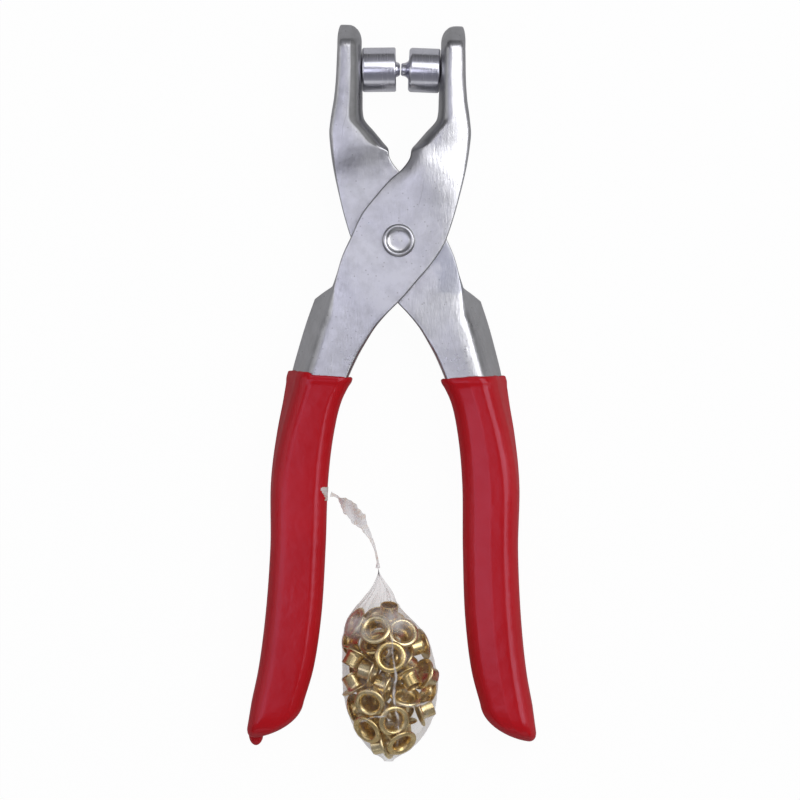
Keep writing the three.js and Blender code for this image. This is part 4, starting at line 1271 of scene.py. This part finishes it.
def stage():
    mesh = bpy.data.meshes.new("floor")
    corners = [(x * FLOOR_REACH, y * FLOOR_REACH, FLOOR_Z)
               for x, y in ((-1, -1), (1, -1), (1, 1), (-1, 1))]
    mesh.from_pydata(corners, [], [(0, 1, 2, 3)])
    floor = new_object("floor", mesh)
    material = bpy.data.materials.new("white_floor")
    material.use_nodes = True
    tree = material.node_tree
    tree.nodes.clear()
    path = add(tree, "LightPath")
    straight = highest(tree, path["Is Camera Ray"], path["Is Transmission Ray"])
    bare = mapped(tree, path["Transparent Depth"], 0, 1, FLOOR_WHITE, FLOOR_THROUGH_FILM)
    seen = highest(tree, product(tree, straight, bare),
                   product(tree, path["Is Glossy Ray"], FLOOR_GLOSSY))
    tone = mixed(tree, path["Is Glossy Ray"], (0.88, 0.88, 0.88, 1), (0.40, 0.40, 0.40, 1))
    matte = add(tree, "BsdfDiffuse", {"Color": tone})[0]
    white = add(tree, "Emission", WHITE)[0]
    mix = add(tree, "MixShader", {0: seen, 1: matte, 2: white})[0]
    add(tree, "OutputMaterial", {"Surface": mix})
    dress(material, floor)


def world():
    """White to the camera, and a dim studio, brighter half way up, to everything else."""
    studio = bpy.data.worlds.new("studio")
    bpy.context.scene.world = studio
    studio.use_nodes = True
    tree = studio.node_tree
    tree.nodes.clear()
    glow = ramp(tree, parts_of(tree, "Generated")["Z"], [
        (0.0, (0.09, 0.09, 0.09)), (0.3, (0.15, 0.15, 0.15)), (0.6, (0.24, 0.24, 0.26)),
        (0.85, (0.17, 0.17, 0.19)), (1.0, (0.14, 0.14, 0.17))])
    camera_ray = add(tree, "LightPath")["Is Camera Ray"]
    light = add(tree, "Background", {"Color": glow})[0]
    white = add(tree, "Background", WHITE)[0]
    mix = add(tree, "MixShader", {0: camera_ray, 1: light, 2: white})[0]
    add(tree, "OutputWorld", {"Surface": mix})


def softbox(name, way, distance, size, radiance, colour=(1, 1, 1)):
    """A soft box that looks at the object, as bright as radiance seen in a mirror."""
    data = bpy.data.lights.new(name, "AREA")
    data.shape = "RECTANGLE"
    data.size, data.size_y = size
    data.energy = radiance * math.pi * size[0] * size[1]
    data.color = colour
    lamp = new_object(name, data)
    direction = Vector(way).normalized()
    lamp.location = direction * distance
    lamp.rotation_euler = direction.to_track_quat("Z", "Y").to_euler()
    lamp.visible_camera = False


# The photograph: 0.265 mm to a pixel at the arms' faces, turned by 0.817 degrees
PIXEL = 0.265
PHOTO_TURN = math.radians(0.817)
PHOTO_SIZE = 800
CAMERA_HEIGHT = 2.4
CAMERA_X = 0.97
CAMERA_Y = -1.81


def camera():
    data = bpy.data.cameras.new("camera")
    view = new_object("camera", data)
    view.location = (CAMERA_X * MM, CAMERA_Y * MM, CAMERA_HEIGHT)
    view.rotation_euler = (0, 0, PHOTO_TURN)
    data.sensor_width = 36
    data.lens = data.sensor_width * (CAMERA_HEIGHT - ARM_DEPTH * MM) / (PHOTO_SIZE * PIXEL * MM)
    data.clip_end = 20
    bpy.context.scene.camera = view


stage()
world()
softbox("key", (0.50, 0.24, 0.83), 1.3, (0.9, 0.9), 2.8)
softbox("top", (0.0, 0.50, 0.87), 1.0, (0.5, 0.42), 1.5)
softbox("front", (0.0, -0.92, 0.38), 1.2, (1.2, 0.4), 0.5)
softbox("band", (-0.34, -0.05, 0.94), 1.3, (0.32, 1.0), 1.7, (0.85, 0.85, 1.0))
softbox("rim", (0.9, 0.1, 0.45), 1.2, (0.2, 0.9), 1.5)
softbox("fill", (-0.85, 0.1, 0.5), 1.2, (0.4, 1.0), 0.8)
camera()
bpy.context.scene.view_settings.view_transform = "Standard"
